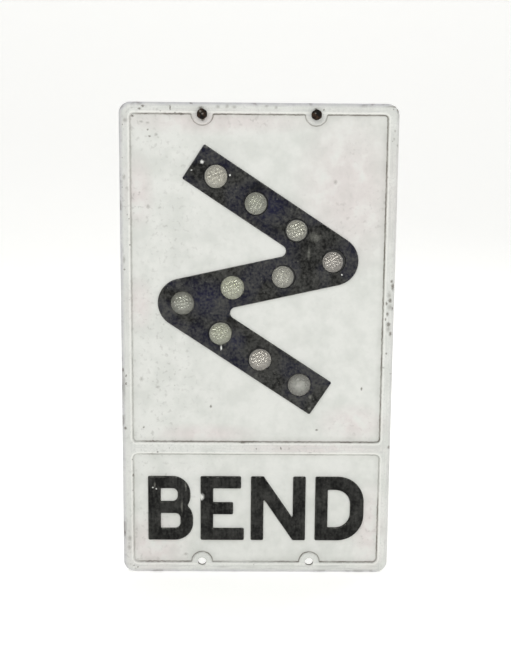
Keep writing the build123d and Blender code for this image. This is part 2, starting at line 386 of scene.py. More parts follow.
def rounded(corners, step=9.0):
    """Points of an outline whose corners (x, z, radius) are rounded by arcs."""
    points = []
    for place, (x, z, radius) in enumerate(corners):
        corner = Vector((x, z))
        if not radius:
            points.append((x, z))
            continue
        before = (Vector(corners[place - 1][:2]) - corner).normalized()
        after = (Vector(corners[(place + 1) % len(corners)][:2]) - corner).normalized()
        half = before.angle(after) / 2
        middle = corner + (before + after).normalized() * radius / sin(half)
        first = corner + before * radius / tan(half) - middle
        last = corner + after * radius / tan(half) - middle
        start = atan2(first.y, first.x)
        sweep = (atan2(last.y, last.x) - start + pi) % (2 * pi) - pi
        count = max(2, round(abs(sweep) / radians(step)))
        for part in range(count + 1):
            angle = start + sweep * part / count
            points.append((middle.x + radius * cos(angle), middle.y + radius * sin(angle)))
    return points


def circle(x, z, radius, count=64):
    """Points of a circle."""
    return [(x + radius * cos(2 * pi * part / count), z + radius * sin(2 * pi * part / count))
            for part in range(count)]


def bite(x, z, radius, start, end, count=20):
    """Corners without rounding along an arc between two angles."""
    angles = [start + (end - start) * part / count for part in range(count + 1)]
    return [(x + radius * cos(angle), z + radius * sin(angle), 0) for angle in angles]


# Levels and rectangles of the casting


class Layout:
    """Rectangles and levels that the casting and its paint share."""

    def __init__(self, size):
        self.panel_y = FRONT + size.relief
        self.half_width = PLATE_HIGH.x - size.border
        self.word_low = PLATE_LOW.z + size.border
        self.word_high = self.word_low + size.word_panel
        self.upper_low = self.word_high + size.bar_width
        self.upper_high = PLATE_HIGH.z - size.border
        self.upper_middle = (self.upper_low + self.upper_high) / 2
        self.word_middle = (self.word_low + self.word_high) / 2
        self.plate_middle = (PLATE_LOW.z + PLATE_HIGH.z) / 2


# Profiles in millimetres, in steps of (inset, rise), and how far their first loops lie outside the size
RELIEF_STEPS = [(0.25, 0.12), (0.15, 0.3), (0.15, 1.13), (0.12, 0.5), (0.25, 0.32), (0.4, 0.13)]
PANEL_STEPS = [(0.75, 0.12), (0.5, 0.3), (0.35, 0.5), (0.25, 0.8), (0.2, 0.45), (0.2, 0.21), (0.3, 0.12)]
PANEL_RIM = sum(inset for inset, rise in PANEL_STEPS)
HOLLOW_STEPS = [(0.2, 0.1), (0.1, 0.2), (0.2, 4.25), (0.2, 0.3), (0.3, 0.15)]
HOLLOW_RIM = 0.3
BOSS_STEPS = [(0.7, 0.2), (0.4, 0.5), (0.2, 2.4), (0.15, 0.5), (0.35, 0.3), (0.5, 0.1)]
BOSS_FOOT = 1.1
# Rounding of the stiffening lip's edge, and how deep a raised shape starts inside the plate
LIP_ROUND = 0.6
SINK = 1.0


def scaled(steps, share=1.0):
    """Steps in metres, with the rises taken to a share."""
    return [(inset * MM, rise * share * MM) for inset, rise in steps]


# Letter shapes in millimetres, each about its own lower left corner
B_WIDTH, B_WAIST_INSET, B_LOWER_COUNTER, B_RADIUS, B_WAIST_RADIUS = 51.5, 3.0, 17.4, 20.5, 2.5
E_WIDTH, E_TOP_INSET, E_MIDDLE_INSET = 50.0, 3.5, 12.5
N_WIDTH, N_DIAGONAL = 62.8, 18.2
D_WIDTH, D_RADIUS, D_BOWL, D_COUNTER_RADIUS = 56.0, 30.0, 15.8, 17.0
LETTER_GAPS = [8.5, 7.7, 11.0]
OUTER_CORNER, INNER_CORNER = 1.7, 0.8


def softened(places):
    """Corners of an outline with small radii: larger on outer corners than in inner ones."""
    corners = []
    for place, here in enumerate(places):
        before, after = Vector(places[place - 1]), Vector(places[(place + 1) % len(places)])
        outer = (Vector(here) - before).cross(after - Vector(here)) > 0
        corners.append((*here, OUTER_CORNER if outer else INNER_CORNER))
    return corners


def bowl(x, z, width, height, radius, corner=OUTER_CORNER):
    """Corners of a rectangle whose two right-hand corners are round."""
    return [(x, z, corner), (x + width, z, radius), (x + width, z + height, radius), (x, z + height, corner)]


def letter_b(cap, stroke):
    """Outline and two counters of the letter B: two bowls that meet in a waist."""
    start = B_LOWER_COUNTER + stroke
    top_width = B_WIDTH - B_WAIST_INSET
    lower = Vector((B_WIDTH - B_RADIUS, start + stroke - B_RADIUS))
    upper = Vector((top_width - B_RADIUS, start + B_RADIUS))
    apart = upper - lower
    across = Vector((apart.y, -apart.x)).normalized()
    waist = (lower + upper) / 2 + across * sqrt(B_RADIUS ** 2 - apart.length_squared / 4)
    rise = atan2(waist.y - lower.y, waist.x - lower.x)
    fall = atan2(waist.y - upper.y, waist.x - upper.x)
    outline = [(0, 0, OUTER_CORNER), (B_WIDTH, 0, B_RADIUS), *bite(*lower, B_RADIUS, 0, rise, 5)[:-1],
               (*waist, B_WAIST_RADIUS), *bite(*upper, B_RADIUS, fall, 0, 4)[1:], (top_width, cap, B_RADIUS),
               (0, cap, OUTER_CORNER)]
    counter = B_RADIUS - stroke
    holes = [(stroke, B_WIDTH, B_LOWER_COUNTER), (start + stroke, top_width, cap - start - 2 * stroke)]
    return [outline, *(bowl(stroke, z, width - 2 * stroke, height, counter, INNER_CORNER)
                       for z, width, height in holes)]


def letter_e(cap, stroke):
    """Outline of the letter E."""
    half = (cap - stroke) / 2
    top, middle = E_WIDTH - E_TOP_INSET, E_WIDTH - E_MIDDLE_INSET
    return [softened([(0, 0), (E_WIDTH, 0), (E_WIDTH, stroke), (stroke, stroke), (stroke, half),
                      (middle, half), (middle, half + stroke), (stroke, half + stroke),
                      (stroke, cap - stroke), (top, cap - stroke), (top, cap), (0, cap)])]


def letter_n(cap, stroke):
    """Outline of the letter N."""
    right = N_WIDTH - stroke
    head = N_DIAGONAL * cap / (right - stroke + N_DIAGONAL)
    return [softened([(0, 0), (stroke, 0), (stroke, cap - head), (right, 0), (N_WIDTH, 0), (N_WIDTH, cap),
                      (right, cap), (right, head), (stroke, cap), (0, cap)])]


def letter_d(cap, stroke):
    """Outline and counter of the letter D."""
    return [bowl(0, 0, D_WIDTH, cap, D_RADIUS),
            bowl(stroke, D_BOWL, D_WIDTH - stroke - D_BOWL, cap - 2 * D_BOWL, D_COUNTER_RADIUS, INNER_CORNER)]


def word_shapes(size, layout):
    """Loops of the four letters, placed on the lower panel."""
    cap, stroke = size.cap_height / MM, size.stroke / MM
    widths = [B_WIDTH, E_WIDTH, N_WIDTH, D_WIDTH]
    x = -(sum(widths) + sum(LETTER_GAPS)) / 2
    base = layout.word_middle - size.cap_height / 2
    shapes = []
    for shape, width, gap in zip((letter_b, letter_e, letter_n, letter_d), widths, LETTER_GAPS + [0]):
        loops = [rounded(loop) for loop in shape(cap, stroke)]
        shapes.append([[((x + across) * MM, base + up * MM) for across, up in loop] for loop in loops])
        x += width + gap
    return shapes


def symbol_shape(size, layout):
    """Loop of the double bend on the upper panel."""
    arm = Vector((cos(size.arm_slope), -sin(size.arm_slope)))
    arm_side = Vector((sin(size.arm_slope), cos(size.arm_slope)))
    middle = Vector((cos(size.middle_slope), sin(size.middle_slope)))
    middle_side = Vector((-sin(size.middle_slope), cos(size.middle_slope)))
    half = size.band_width / 2

    def crossing(arm_shift, middle_shift):
        """Where the upper arm's line meets the middle's line, each moved sideways."""
        first = arm_side * (size.arm_offset + arm_shift)
        gap = middle_side * middle_shift - first
        return first + arm * (gap.cross(middle) / arm.cross(middle))

    outer = crossing(half, -half)
    inner = crossing(-half, half)
    upper_end = arm_side * (size.arm_offset + half) - arm * size.arm_reach
    lower_end = arm_side * (size.arm_offset - half) - arm * size.arm_reach
    sharp = OUTER_CORNER * MM
    side = [(upper_end, sharp), (outer, size.bend_radius), (-inner, size.inner_radius), (-lower_end, sharp)]
    corners = side + [(-corner, radius) for corner, radius in side]
    points = rounded([(corner.x, corner.y, radius) for corner, radius in corners], 6.0)
    return [[(x, z + layout.upper_middle) for x, z in points]]


def lug_edge(size, x, z, way):
    """Corners along a lug's edge at the border's face, with a fillet on each side."""
    drop = PANEL_RIM * MM
    lug = size.lug_radius - drop
    apart = lug + size.lug_fillet
    rise = size.lug_fillet - drop
    lean = asin(rise / apart)
    across = apart * cos(lean)
    edge = [*bite(-across, rise, size.lug_fillet, -pi / 2, -lean, 8)[:-1],
            *bite(0, 0, lug, pi - lean, lean, 32),
            *bite(across, rise, size.lug_fillet, pi + lean, 3 * pi / 2, 8)[1:]]
    return [(x + way * side, z + way * up, 0) for side, up, radius in edge]


def panel_shapes(size, layout):
    """Loops of the two sunk panels at the border's face, with the lugs left out."""
    rim = PANEL_RIM * MM
    wide = layout.half_width + rim
    loops = []
    for holes, way, low, high, corner in (
            (LOWER_HOLES, 1, layout.word_low, layout.word_high, size.word_corner),
            (UPPER_HOLES, -1, layout.upper_low, layout.upper_high, size.upper_corner)):
        middle = (low + high) / 2
        tall = (high - low) / 2 + rim
        radius = corner + rim
        loop = [(-way * wide, middle - way * tall, radius)]
        for x, z in holes[::way]:
            loop += lug_edge(size, x, z, way)
        loop += [(way * wide, middle - way * tall, radius), (way * wide, middle + way * tall, radius),
                 (-way * wide, middle + way * tall, radius)]
        loops.append(rounded(loop))
    return loops


def hollow_shape(size):
    """Loop of the hollow behind, at the edge of the stiffening lip."""
    rim = HOLLOW_RIM * MM
    wide = PLATE_HIGH.x - size.lip_width + rim
    low = PLATE_LOW.z + size.lip_width - rim
    high = PLATE_HIGH.z - size.lip_width + rim
    inner = size.corner_radius - size.lip_width
    return rounded([(-wide, low, inner), (wide, low, inner), (wide, high, inner), (-wide, high, inner)])


def plate_block(size):
    """Block of the whole depth with rounded corners and a rounded front edge."""
    middle = (PLATE_LOW + PLATE_HIGH) / 2
    deselect_all()
    bpy.ops.mesh.primitive_cube_add(size=1, location=middle, scale=PLATE_HIGH - PLATE_LOW)
    plate = named("sign_plate_finish")
    edit(plate)
    pick(plate, "EDGE", lambda edge: abs(edge.verts[0].co.y - edge.verts[1].co.y) > MM)
    bpy.ops.mesh.bevel(offset=size.corner_radius, segments=12, affect="EDGES")
    pick(plate, "EDGE", lambda edge: all(abs(corner.co.y - FRONT) < NEAR for corner in edge.verts))
    bpy.ops.mesh.bevel(offset=size.edge_round, segments=7, affect="EDGES")
    pick(plate, "EDGE", lambda edge: all(abs(corner.co.y - RIM) < NEAR for corner in edge.verts))
    bpy.ops.mesh.bevel(offset=LIP_ROUND * MM, segments=2, affect="EDGES")
    leave_edit()
    return plate


def bore_profile(size):
    """Profile of a reflector's stepped bore with the ring's groove."""
    ledge = SEAL_LOW.y
    lip = 0.5 * MM
    proud = 2 * MM
    return [(0, FRONT - proud), (size.aperture + lip, FRONT - proud), (size.aperture + lip, FRONT),
            (size.aperture + 0.3 * lip, FRONT + 0.3 * lip), (size.aperture, FRONT + lip),
            (size.aperture, ledge), (size.seat, ledge), (size.seat, RING_LOW.y - 0.1 * MM),
            (size.groove, RING_LOW.y - 0.1 * MM), (size.groove, RING_HIGH.y + 0.1 * MM),
            (size.seat, RING_HIGH.y + 0.1 * MM), (size.seat, size.boss_end - lip),
            (size.seat + lip, size.boss_end), (size.seat + lip, size.boss_end + proud),
            (0, size.boss_end + proud)]


def hole_profile():
    """Profile of a fixing hole with softened rims."""
    proud, soft = 3 * MM, 0.5 * MM
    return [(0, FRONT - proud), (HOLE_RADIUS + soft, FRONT - proud), (HOLE_RADIUS + soft, FRONT),
            (HOLE_RADIUS, FRONT + soft), (HOLE_RADIUS, -0.3 * MM), (HOLE_RADIUS + 0.3 * MM, 0),
            (HOLE_RADIUS + 0.3 * MM, proud), (0, proud)]


# Materials. A node's inputs are given in the order of its sockets, as in MapRange: value, from min,
# from max, to min, to max. Noise and cells are scaled by 1 / their size in millimetres.


def give(tree, socket, value):
    """Set an input socket to a constant, or link a node or one of its outputs to it."""
    if isinstance(value, bpy.types.Node):
        value = next(entry for entry in value.outputs if entry.enabled)
    if isinstance(value, bpy.types.NodeSocket):
        tree.links.new(value, socket)
    else:
        socket.default_value = value


def add_node(tree, kind, *inputs, **settings):
    """Add a node: inputs in the order of its sockets or by their capital names, and its settings."""
    node = tree.nodes.new(f"ShaderNode{kind}")
    by_name = {name: settings.pop(name) for name in list(settings) if name[0].isupper()}
    for name, value in settings.items():
        setattr(node, name, value)
    sockets = [entry for entry in node.inputs if entry.enabled]
    for socket, value in zip(sockets, inputs):
        give(tree, socket, value)
    for name, value in by_name.items():
        give(tree, node.inputs[name], value)
    return node


def start_material(name):
    """New material, its surface shader, and the function that adds a node to it."""
    material = bpy.data.materials.new(name)
    material.use_nodes = True
    tree = material.node_tree
    return material, tree.nodes["Principled BSDF"], partial(add_node, tree)


def set_surface(shader, **sockets):
    """Set or link the surface shader's own sockets, with _ for the spaces in their names."""
    for name, value in sockets.items():
        give(shader.id_data, shader.inputs[name.replace("_", " ")], value)


def in_space(add):
    """Object coordinates in millimetres."""
    place = add("TexCoord").outputs["Object"]
    return add("VectorMath", place, (1 / MM, 1 / MM, 1 / MM), operation="MULTIPLY")


def without_depth(add, solid):
    """Coordinates on the plate's face, the same at every depth."""
    return add("VectorMath", solid, (1, 0, 1), operation="MULTIPLY")


def shaken_by(add, flat, reach):
    """Coordinates on the plate's face, moved by a fine noise so that edges of marks come out ragged."""
    noise = add("TexNoise", flat, 1 / 4, 3).outputs["Color"]
    shift = add("VectorMath", noise, (reach, 0, reach), (-reach / 2, 0, -reach / 2), operation="MULTIPLY_ADD")
    return add("VectorMath", flat, shift, operation="ADD")


def box_gap(add, flat, middle, wide, high, radius):
    """Signed distance from a rounded rectangle in millimetres, negative inside it."""
    half = ((wide / 2 - radius) / MM, 0, (high / 2 - radius) / MM)
    local = add("VectorMath", flat, (0, 0, middle / MM), operation="SUBTRACT")
    folded = add("VectorMath", local, operation="ABSOLUTE")
    over = add("VectorMath", folded, half, operation="SUBTRACT")
    beyond = add("VectorMath", over, (0, 0, 0), operation="MAXIMUM")
    outside = add("VectorMath", beyond, operation="LENGTH")
    parts = add("SeparateXYZ", over)
    larger = add("Math", parts.outputs["X"], parts.outputs["Z"], operation="MAXIMUM")
    inside = add("Math", larger, 0.0, operation="MINIMUM")
    both = add("Math", outside, inside, operation="ADD")
    return add("Math", both, radius / MM, operation="SUBTRACT")


def blots(add, flat, marks, core=0.6, ragged=0.0):
    """Mask of oval blots with a soft or ragged rim: x, z, half width and half height in millimetres."""
    nearest = 10.0
    for x, z, wide, high in marks:
        local = add("VectorMath", flat, (1 / wide, 0, 1 / high), (-x / wide, 0, -z / high),
                    operation="MULTIPLY_ADD")
        away = add("VectorMath", local, operation="LENGTH")
        nearest = add("Math", nearest, away, operation="MINIMUM")
    if ragged:
        edge = add("TexNoise", flat, 1 / 0.9, 3.0)
        nearest = add("Math", add("Math", edge, 0.5, operation="SUBTRACT"), ragged, nearest,
                      operation="MULTIPLY_ADD")
    return add("MapRange", nearest, 1.15, core)


def specks(add, flat, cell, share, largest):
    """Mask of scattered round specks: cell size, share of cells that have one, and largest radius."""
    cells = add("TexVoronoi", flat, 1 / cell)
    red = add("SeparateColor", cells.outputs["Color"]).outputs["Red"]
    radius = add("MapRange", red, 1 - share, 1, 0, largest / cell)
    gap = add("Math", cells.outputs["Distance"], radius, operation="SUBTRACT")
    return add("MapRange", gap, 0.0, -0.35 / cell)


def strokes(add, solid, wide, long):
    """Noise drawn out into brush strokes, lying and standing."""
    drawn = []
    for scale in ((1 / long, 1 / long, 1 / wide), (1 / wide, 1 / long, 1 / long)):
        place = add("VectorMath", solid, scale, operation="MULTIPLY")
        drawn.append(add("TexNoise", place, 1, 3))
    return drawn


def paint_normal(add, solid, grain, wave):
    """Normal of brushed paint on a sand casting: fine grain over a slow wave, each by its height."""
    slow = add("TexNoise", solid, 1 / 28, 1.0)
    fine = add("TexNoise", solid, 1 / 2.2, 4.0)
    first = add("Bump", Height=slow, Distance=wave * MM)
    return add("Bump", Height=fine, Distance=grain * MM, Normal=first)


# How much further from the foot the dark line of soiling and painted shade is taken to be on the lower and
# upper lugs, where it is fainter
LUG_LINES = (0.2, 0.3)
# Marks in millimetres on the plate: x, z, half width, half height
WARM_PATCHES = [
    (100, 425, 60, 85), (-45, 500, 110, 14), (-132, 425, 18, 40), (-132, 300, 16, 30),
    (-118, 20, 40, 40), (60, 136, 85, 9), (130, 40, 20, 55), (-60, 152, 60, 12), (110, 165, 40, 22)]
SWEPT_FEET = [(-8, 0, 46, 9), (140, 105, 8, 34)]
DARK_MARKS = [
    (-126, 516, 2.0, 1.6), (-129.5, 513.3, 1.9, 1.3), (-96.4, 514.5, 1.0, 3.0), (-84, 508, 3.4, 1.3),
    (-74, 519.5, 2.0, 0.9), (-137.5, 505.5, 2.0, 1.5), (-121, 491, 1.5, 1.0), (-119, 484, 1.8, 0.9),
    (-150.5, 225.6, 1.5, 3.6), (-147, 219, 1.2, 1.8), (-147.2, 210, 1.2, 2.0), (-148.4, 158.7, 2.1, 2.1),
    (-140.2, 103, 1.1, 2.0), (-150.6, 34.5, 1.4, 4.4), (-136, -6.5, 1.2, 1.0), (27.6, 136, 1.1, 1.7),
    (149.6, 321.6, 2.0, 4.6), (148.4, 327.5, 1.6, 2.0), (147.2, 306, 2.2, 3.0), (143.2, 302.5, 1.5, 2.2),
    (144.5, 291, 1.6, 2.6), (149.8, 297, 1.2, 2.4), (146.2, 279, 2.8, 3.0), (148.4, 268.7, 2.0, 3.0),
    (142.6, 285, 1.0, 1.6), (144.4, 246, 1.2, 1.4), (150.4, 137.8, 1.2, 2.2), (68, 157, 1.5, 1.3),
    (-16, 142, 4.2, 1.0), (-128, 159, 1.2, 1.5), (-63.3, 514.2, 3.2, 2.4), (-61.2, 502, 2.6, 1.6),
    (61.2, 513.8, 2.2, 1.6), (-52, 184, 1.4, 2.0), (118, 205, 1.2, 2.2),
    (146.2, 517.2, 3.4, 0.9), (150.0, 513.2, 1.0, 2.8)]
SMUDGES = [
    (-128, 499.5, 2.6, 1.6), (-121, 498.5, 2.4, 1.5), (-112, 486, 2.2, 2.0), (-44.7, 515.8, 2.6, 2.4),
    (-35, 516.5, 2.2, 2.6), (-27.4, 515.6, 2.8, 1.8), (7.7, 517, 2.4, 1.8), (18, 515.5, 2.0, 2.4),
    (-145, 501, 2.8, 2.8), (147.3, 491.8, 1.4, 1.8), (146.5, 483, 1.4, 1.8), (150.6, 476, 1.3, 2.0),
    (147.4, 298.5, 3.4, 4.0), (146, 312, 3.0, 4.6), (146, 274, 3.4, 5.0), (141.5, 230, 2.0, 1.6),
    (150.4, 223, 2.2, 1.0), (-144.9, 28.5, 3.0, 3.8), (-145.6, 17.5, 2.6, 3.4), (-80.7, 8.7, 3.0, 2.0),
    (61, 131, 2.4, 1.0), (142, 517.5, 7.0, 0.9), (-148, 350, 1.8, 5.4), (-147, 440, 1.8, 3.4),
    (-150, 207, 2.6, 22.0), (84, 436, 2.2, 3.0), (-121, 408, 2.4, 3.0), (-112, 206, 3.0, 2.0),
    (-130, 215, 2.6, 3.0)]
PALE_CHIPS = [(-62, 457, 2.0, 2.1), (-73.3, 448, 0.8, 0.8), (-31.5, 443, 1.1, 1.0),
              (93, 334.5, 1.0, 1.0), (-40.5, 251.5, 1.1, 3.0), (-63.4, 78, 3.9, 4.2),
              (-118, 89, 0.9, 0.8), (-114, 87.5, 1.0, 0.8)]
NAVY_PATCHES = [(-56, 306, 27, 24), (10, 408, 30, 22), (-25, 258, 13, 15)]
GREY_SCUFFS = [(60, 196, 2.4, 2.2), (59, 182, 2.2, 2.0), (56, 359, 2.0, 8.0), (62, 376, 7.0, 6.0),
               (-84.8, 67, 1.4, 9.0), (-80.5, 91, 1.3, 6.5), (-116, 92, 1.2, 4.0),
               (-57, 473.5, 3.2, 2.6), (-85, 430, 9.0, 8.0)]
RUBBED_STEEL_AND_HIGHLIGHT = [(-63.8, 510.8, 1.6, 1.3), (-61.2, 508.2, 1.3, 1.0), (60.5, 509.5, 1.1, 0.8)]
RUST_RUNS = [(-61.9, 484, 6.0, 26.0), (61.9, 481, 5.5, 29.0), (-61.9, 508, 13.0, 12.0),
             (61.9, 508, 13.0, 12.0)]


def plate_gap(add, shaken, size, layout):
    """Signed distance from the plate's outline in millimetres."""
    return box_gap(add, shaken, layout.plate_middle, PLATE_HIGH.x - PLATE_LOW.x, PLATE_HIGH.z - PLATE_LOW.z,
                   size.corner_radius)


def white_enamel(paint, size, layout):
    """Aged white enamel brushed over a sand casting: soft sheen, faint tints, dirt along the relief."""
    material, shader, add = start_material("aged_white_enamel")
    solid = in_space(add)
    flat = without_depth(add, solid)
    shaken = shaken_by(add, flat, 1.6)
    axes = add("SeparateXYZ", solid)
    across, depth, height = (axes.outputs[name] for name in "XYZ")
    wide = 2 * layout.half_width
    upper_tall, word_tall = layout.upper_high - layout.upper_low, layout.word_high - layout.word_low
    upper = box_gap(add, shaken, layout.upper_middle, wide, upper_tall, size.upper_corner)
    word = box_gap(add, shaken, layout.word_middle, wide, word_tall, size.word_corner)
    plate = plate_gap(add, shaken, size, layout)
    panel = layout.panel_y / MM
    # Edges of the panels in millimetres
    edge, foot_edge, bar_edge = layout.half_width / MM, layout.word_low / MM, layout.word_high / MM
    sunk = add("MapRange", depth, panel - 1.9, panel - 0.5)
    raised = add("Math", 1.0, sunk, operation="SUBTRACT")

    # Faint warm and cool patches, as old enamel yellows and chalks unevenly
    patches = add("TexNoise", solid, 1 / 60, 4.0)
    clouds = add("TexNoise", solid, 1 / 26, 3.0, 0.6)
    cool = add("MapRange", clouds, 0.42, 0.64)
    broken = add("MapRange", clouds, 0.3, 0.5)
    warm = add("Math", blots(add, flat, WARM_PATCHES, 0.3), broken, operation="MULTIPLY")
    tone = add("Mix", warm, paint.white, paint.white_warm, data_type="RGBA")
    tone = add("Mix", cool, tone, paint.white_cool, data_type="RGBA", blend_type="MULTIPLY")

    # Thin and thick coats: a slight mottle, and brush strokes along the border and bar
    mottle = add("TexNoise", solid, 1 / 6, 6.0, 0.7)
    dull = add("MapRange", mottle, 0.4, 0.75, 0, 0.14)
    lying, standing = strokes(add, solid, 1.6, 26)
    side = add("MapRange", add("Math", across, operation="ABSOLUTE"), edge, edge + 2)
    stroke = add("Mix", side, lying, standing)
    streaked = add("MapRange", height, foot_edge, foot_edge - 3, 0.45, 0.9)
    stroke = add("MapRange", stroke, 0.45, 0.7, 0, streaked)
    scuffed = add("TexNoise", shaken, 1 / 3.5, 3.0)
    scuffed = add("MapRange", scuffed, 0.52, 0.7, 0, 0.5)
    grit = add("TexNoise", shaken, 1 / 1.8, 2.0)
    grit = add("MapRange", grit, 0.52, 0.7, 0, 0.6)
    # Painted shade: the left border is greyed towards its outer edge; the bottom border is only a little
    # greyer
    left_border_shade = add("MapRange", across, -edge, -edge - 3, 0, 0.24)
    foot_side = add("MapRange", height, foot_edge, foot_edge - 3, 0, 0.12)
    for share in (scuffed, grit, left_border_shade, foot_side):
        stroke = add("Math", stroke, share, operation="MAXIMUM")
    stroke = add("Math", stroke, raised, operation="MULTIPLY")
    thin = add("Math", dull, stroke, operation="MAXIMUM")
    tone = add("Mix", thin, tone, paint.white_thin_and_shade, data_type="RGBA")
    panels = add("Math", upper, word, operation="MINIMUM")
    # Painted highlight: a band of lighter white on the border's shoulders beside the panels, where the light
    # falls on the rounding
    outer = add("MapRange", panels, 3.6, 2.4)
    shoulder_highlight = add("MapRange", panels, 1.0, 1.8, 0, 0.6)
    shoulder_highlight = add("Math", shoulder_highlight, outer, operation="MULTIPLY")
    tone = add("Mix", shoulder_highlight, tone, paint.white_highlight, data_type="RGBA")

    # Greyer enamel towards the outer edge: partly worn enamel, partly painted shade on the rounded edge, with
    # less of it on the right
    wear = add("TexNoise", solid, 1 / 12, 4.0)
    rim = add("MapRange", plate, -5.0, -0.8, 0, 0.8)
    worn = add("MapRange", wear, 0.3, 0.55, 0.5)
    right = add("MapRange", across, edge, edge + 6, 1, 0.3)
    for share in (worn, right):
        rim = add("Math", rim, share, operation="MULTIPLY")
    tone = add("Mix", rim, tone, paint.rim_wear_and_shade_grey, data_type="RGBA")

    # Dark lines along the feet of the border, bar and lugs, soiling in the crease and painted shade, inside a
    # wider soft band of painted shade: weaker on the left and under the bar
    left = add("MapRange", across, -0.98 * edge, -0.9 * edge, 0.48)
    under = add("MapRange", height, bar_edge - 12, bar_edge - 4, 1, 0.5)
    above = add("Math", height, bar_edge + 2, operation="GREATER_THAN")
    under = add("Math", under, above, operation="MAXIMUM")
    feet = [add("Math", gap, operation="ABSOLUTE") for gap in (upper, word)]
    folded = add("VectorMath", shaken, operation="ABSOLUTE")
    for hole_z, less in zip((LOWER_HOLES[0][1], UPPER_HOLES[0][1]), LUG_LINES):
        away = add("VectorMath", folded, (HOLE_X / MM, 0, hole_z / MM), operation="DISTANCE")
        ring = add("Math", away, size.lug_radius / MM, operation="SUBTRACT")
        ring = add("Math", ring, operation="ABSOLUTE")
        feet.append(add("Math", ring, less, operation="ADD"))
    foot = feet[0]
    for other in feet[1:]:
        foot = add("Math", foot, other, operation="MINIMUM")
    line = add("MapRange", foot, 1.2, 0.3)
    halo_shade = add("MapRange", foot, 7.0, 0.5, 0, 0.16)
    shade = add("Math", line, halo_shade, operation="MAXIMUM")
    streaks = add("TexNoise", solid, 1 / 18, 4.0)
    uneven = add("MapRange", streaks, 0.32, 0.6, 0.52)
    within = add("MapRange", panels, 1.5, 0.7)
    swept = add("MapRange", blots(add, flat, SWEPT_FEET, 0.3), 0, 1, 1.0, 0.45)
    for share in (sunk, uneven, left, under, within, swept):
        shade = add("Math", shade, share, operation="MULTIPLY")
    tone = add("Mix", shade, tone, paint.grime_and_shade, data_type="RGBA")

    # Dirt that clings: faint smudges in clusters, specks, darker ones on the border, and the larger marks
    smears = add("TexNoise", shaken, 1 / 5, 2.0)
    clusters = add("MapRange", patches, 0.4, 0.6, 0.1, 0.45)
    where = add("MapRange", across, -30.0, -110.0, 0.15)
    where = add("Math", where, warm, operation="MAXIMUM")
    clusters = add("Math", clusters, where, operation="MULTIPLY")
    smears = add("MapRange", smears, 0.56, 0.7, 0, 0.6)
    small = add("Math", specks(add, shaken, 13.0, 0.4, 1.5), smears, operation="MAXIMUM")
    faint = add("Math", small, clusters, operation="MULTIPLY")
    dark = add("Math", specks(add, shaken, 7.0, 0.6, 1.5), 0.6, operation="MULTIPLY")
    dark = add("Math", dark, raised, operation="MULTIPLY")
    nicks = add("MapRange", wear, 0.57, 0.66, 0, 0.7)
    nicks = add("Math", nicks, rim, operation="MULTIPLY")
    soiled = add("Math", blots(add, shaken, SMUDGES, 0.0, 1.5), 0.5, operation="MULTIPLY")
    marks = add("Math", blots(add, shaken, DARK_MARKS, 0.3, 2.2), 0.9, operation="MULTIPLY")
    for share in (dark, nicks, soiled, marks):
        faint = add("Math", faint, share, operation="MAXIMUM")
    tone = add("Mix", faint, tone, paint.grime_and_shade, data_type="RGBA")

    sheen = add("MapRange", wear, 0, 1, 0.38, 0.62)
    set_surface(shader, Base_Color=tone, Roughness=sheen, Normal=paint_normal(add, solid, 0.06, 0.5))
    return material


def black_enamel(paint, layout):
    """Black enamel, brushed on the raised faces: chalked and mottled in the symbol, darker in the word."""
    material, shader, add = start_material("chalked_black_enamel")
    solid = in_space(add)
    shaken = shaken_by(add, without_depth(add, solid), 1.6)
    height = add("SeparateXYZ", solid).outputs["Z"]
    upper = add("MapRange", height, layout.word_high / MM, layout.upper_low / MM)
    coarse = add("TexNoise", solid, 1 / 14, 3.0)
    fine = add("TexNoise", solid, 1 / 3, 4.0, 0.65)
    stroke = add("Mix", 0.6, strokes(add, solid, 2.6, 20)[1], fine)
    chalk = add("Mix", upper, stroke, fine)
    chalk = add("Mix", 0.4, chalk, coarse)
    even = add("MapRange", chalk, 0.4, 0.66)
    patchy = add("MapRange", chalk, 0.43, 0.64, 0, 0.62)
    bloom = add("Mix", upper, patchy, even)
    hues = add("TexNoise", solid, 1 / 40, 1.0)
    violet = add("MapRange", hues, 0.47, 0.58, 0, 0.55)
    violet = add("Math", violet, upper, operation="MULTIPLY")
    violet = add("Math", violet, blots(add, shaken, NAVY_PATCHES, 0.3), operation="MAXIMUM")
    base = add("Mix", violet, paint.black, paint.black_violet, data_type="RGBA")
    tone = add("Mix", bloom, base, paint.black_grey, data_type="RGBA")

    # Small pale flecks, worn shoulders, scuffs down to the undercoat and chips down to the white
    flecks = add("Math", specks(add, shaken, 4.0, 0.5, 0.8), upper, operation="MULTIPLY")
    flecks = add("Math", flecks, 0.3, operation="MULTIPLY")
    facing = add("SeparateXYZ", add("NewGeometry").outputs["Normal"]).outputs["Y"]
    shoulder = add("MapRange", facing, -0.97, -0.7, 0, 0.5)
    rubbed = add("MapRange", fine, 0.5, 0.62)
    rubbed = add("Math", rubbed, shoulder, operation="MULTIPLY")
    scuffs = add("Math", blots(add, shaken, GREY_SCUFFS, 0.0, 1.5), fine, operation="MULTIPLY")
    worn = add("Math", flecks, scuffs, operation="MAXIMUM")
    worn = add("Math", worn, rubbed, operation="MAXIMUM")
    tone = add("Mix", worn, tone, paint.undercoat, data_type="RGBA")
    chips = blots(add, shaken, PALE_CHIPS, 0.5, 1.8)
    tone = add("Mix", chips, tone, paint.white, data_type="RGBA")

    sheen = add("MapRange", coarse, 0.3, 0.7, 0.42, 0.62)
    set_surface(shader, Base_Color=tone, Roughness=sheen, Specular_IOR_Level=0.12,
                Normal=paint_normal(add, solid, 0.18, 0.4))
    return material


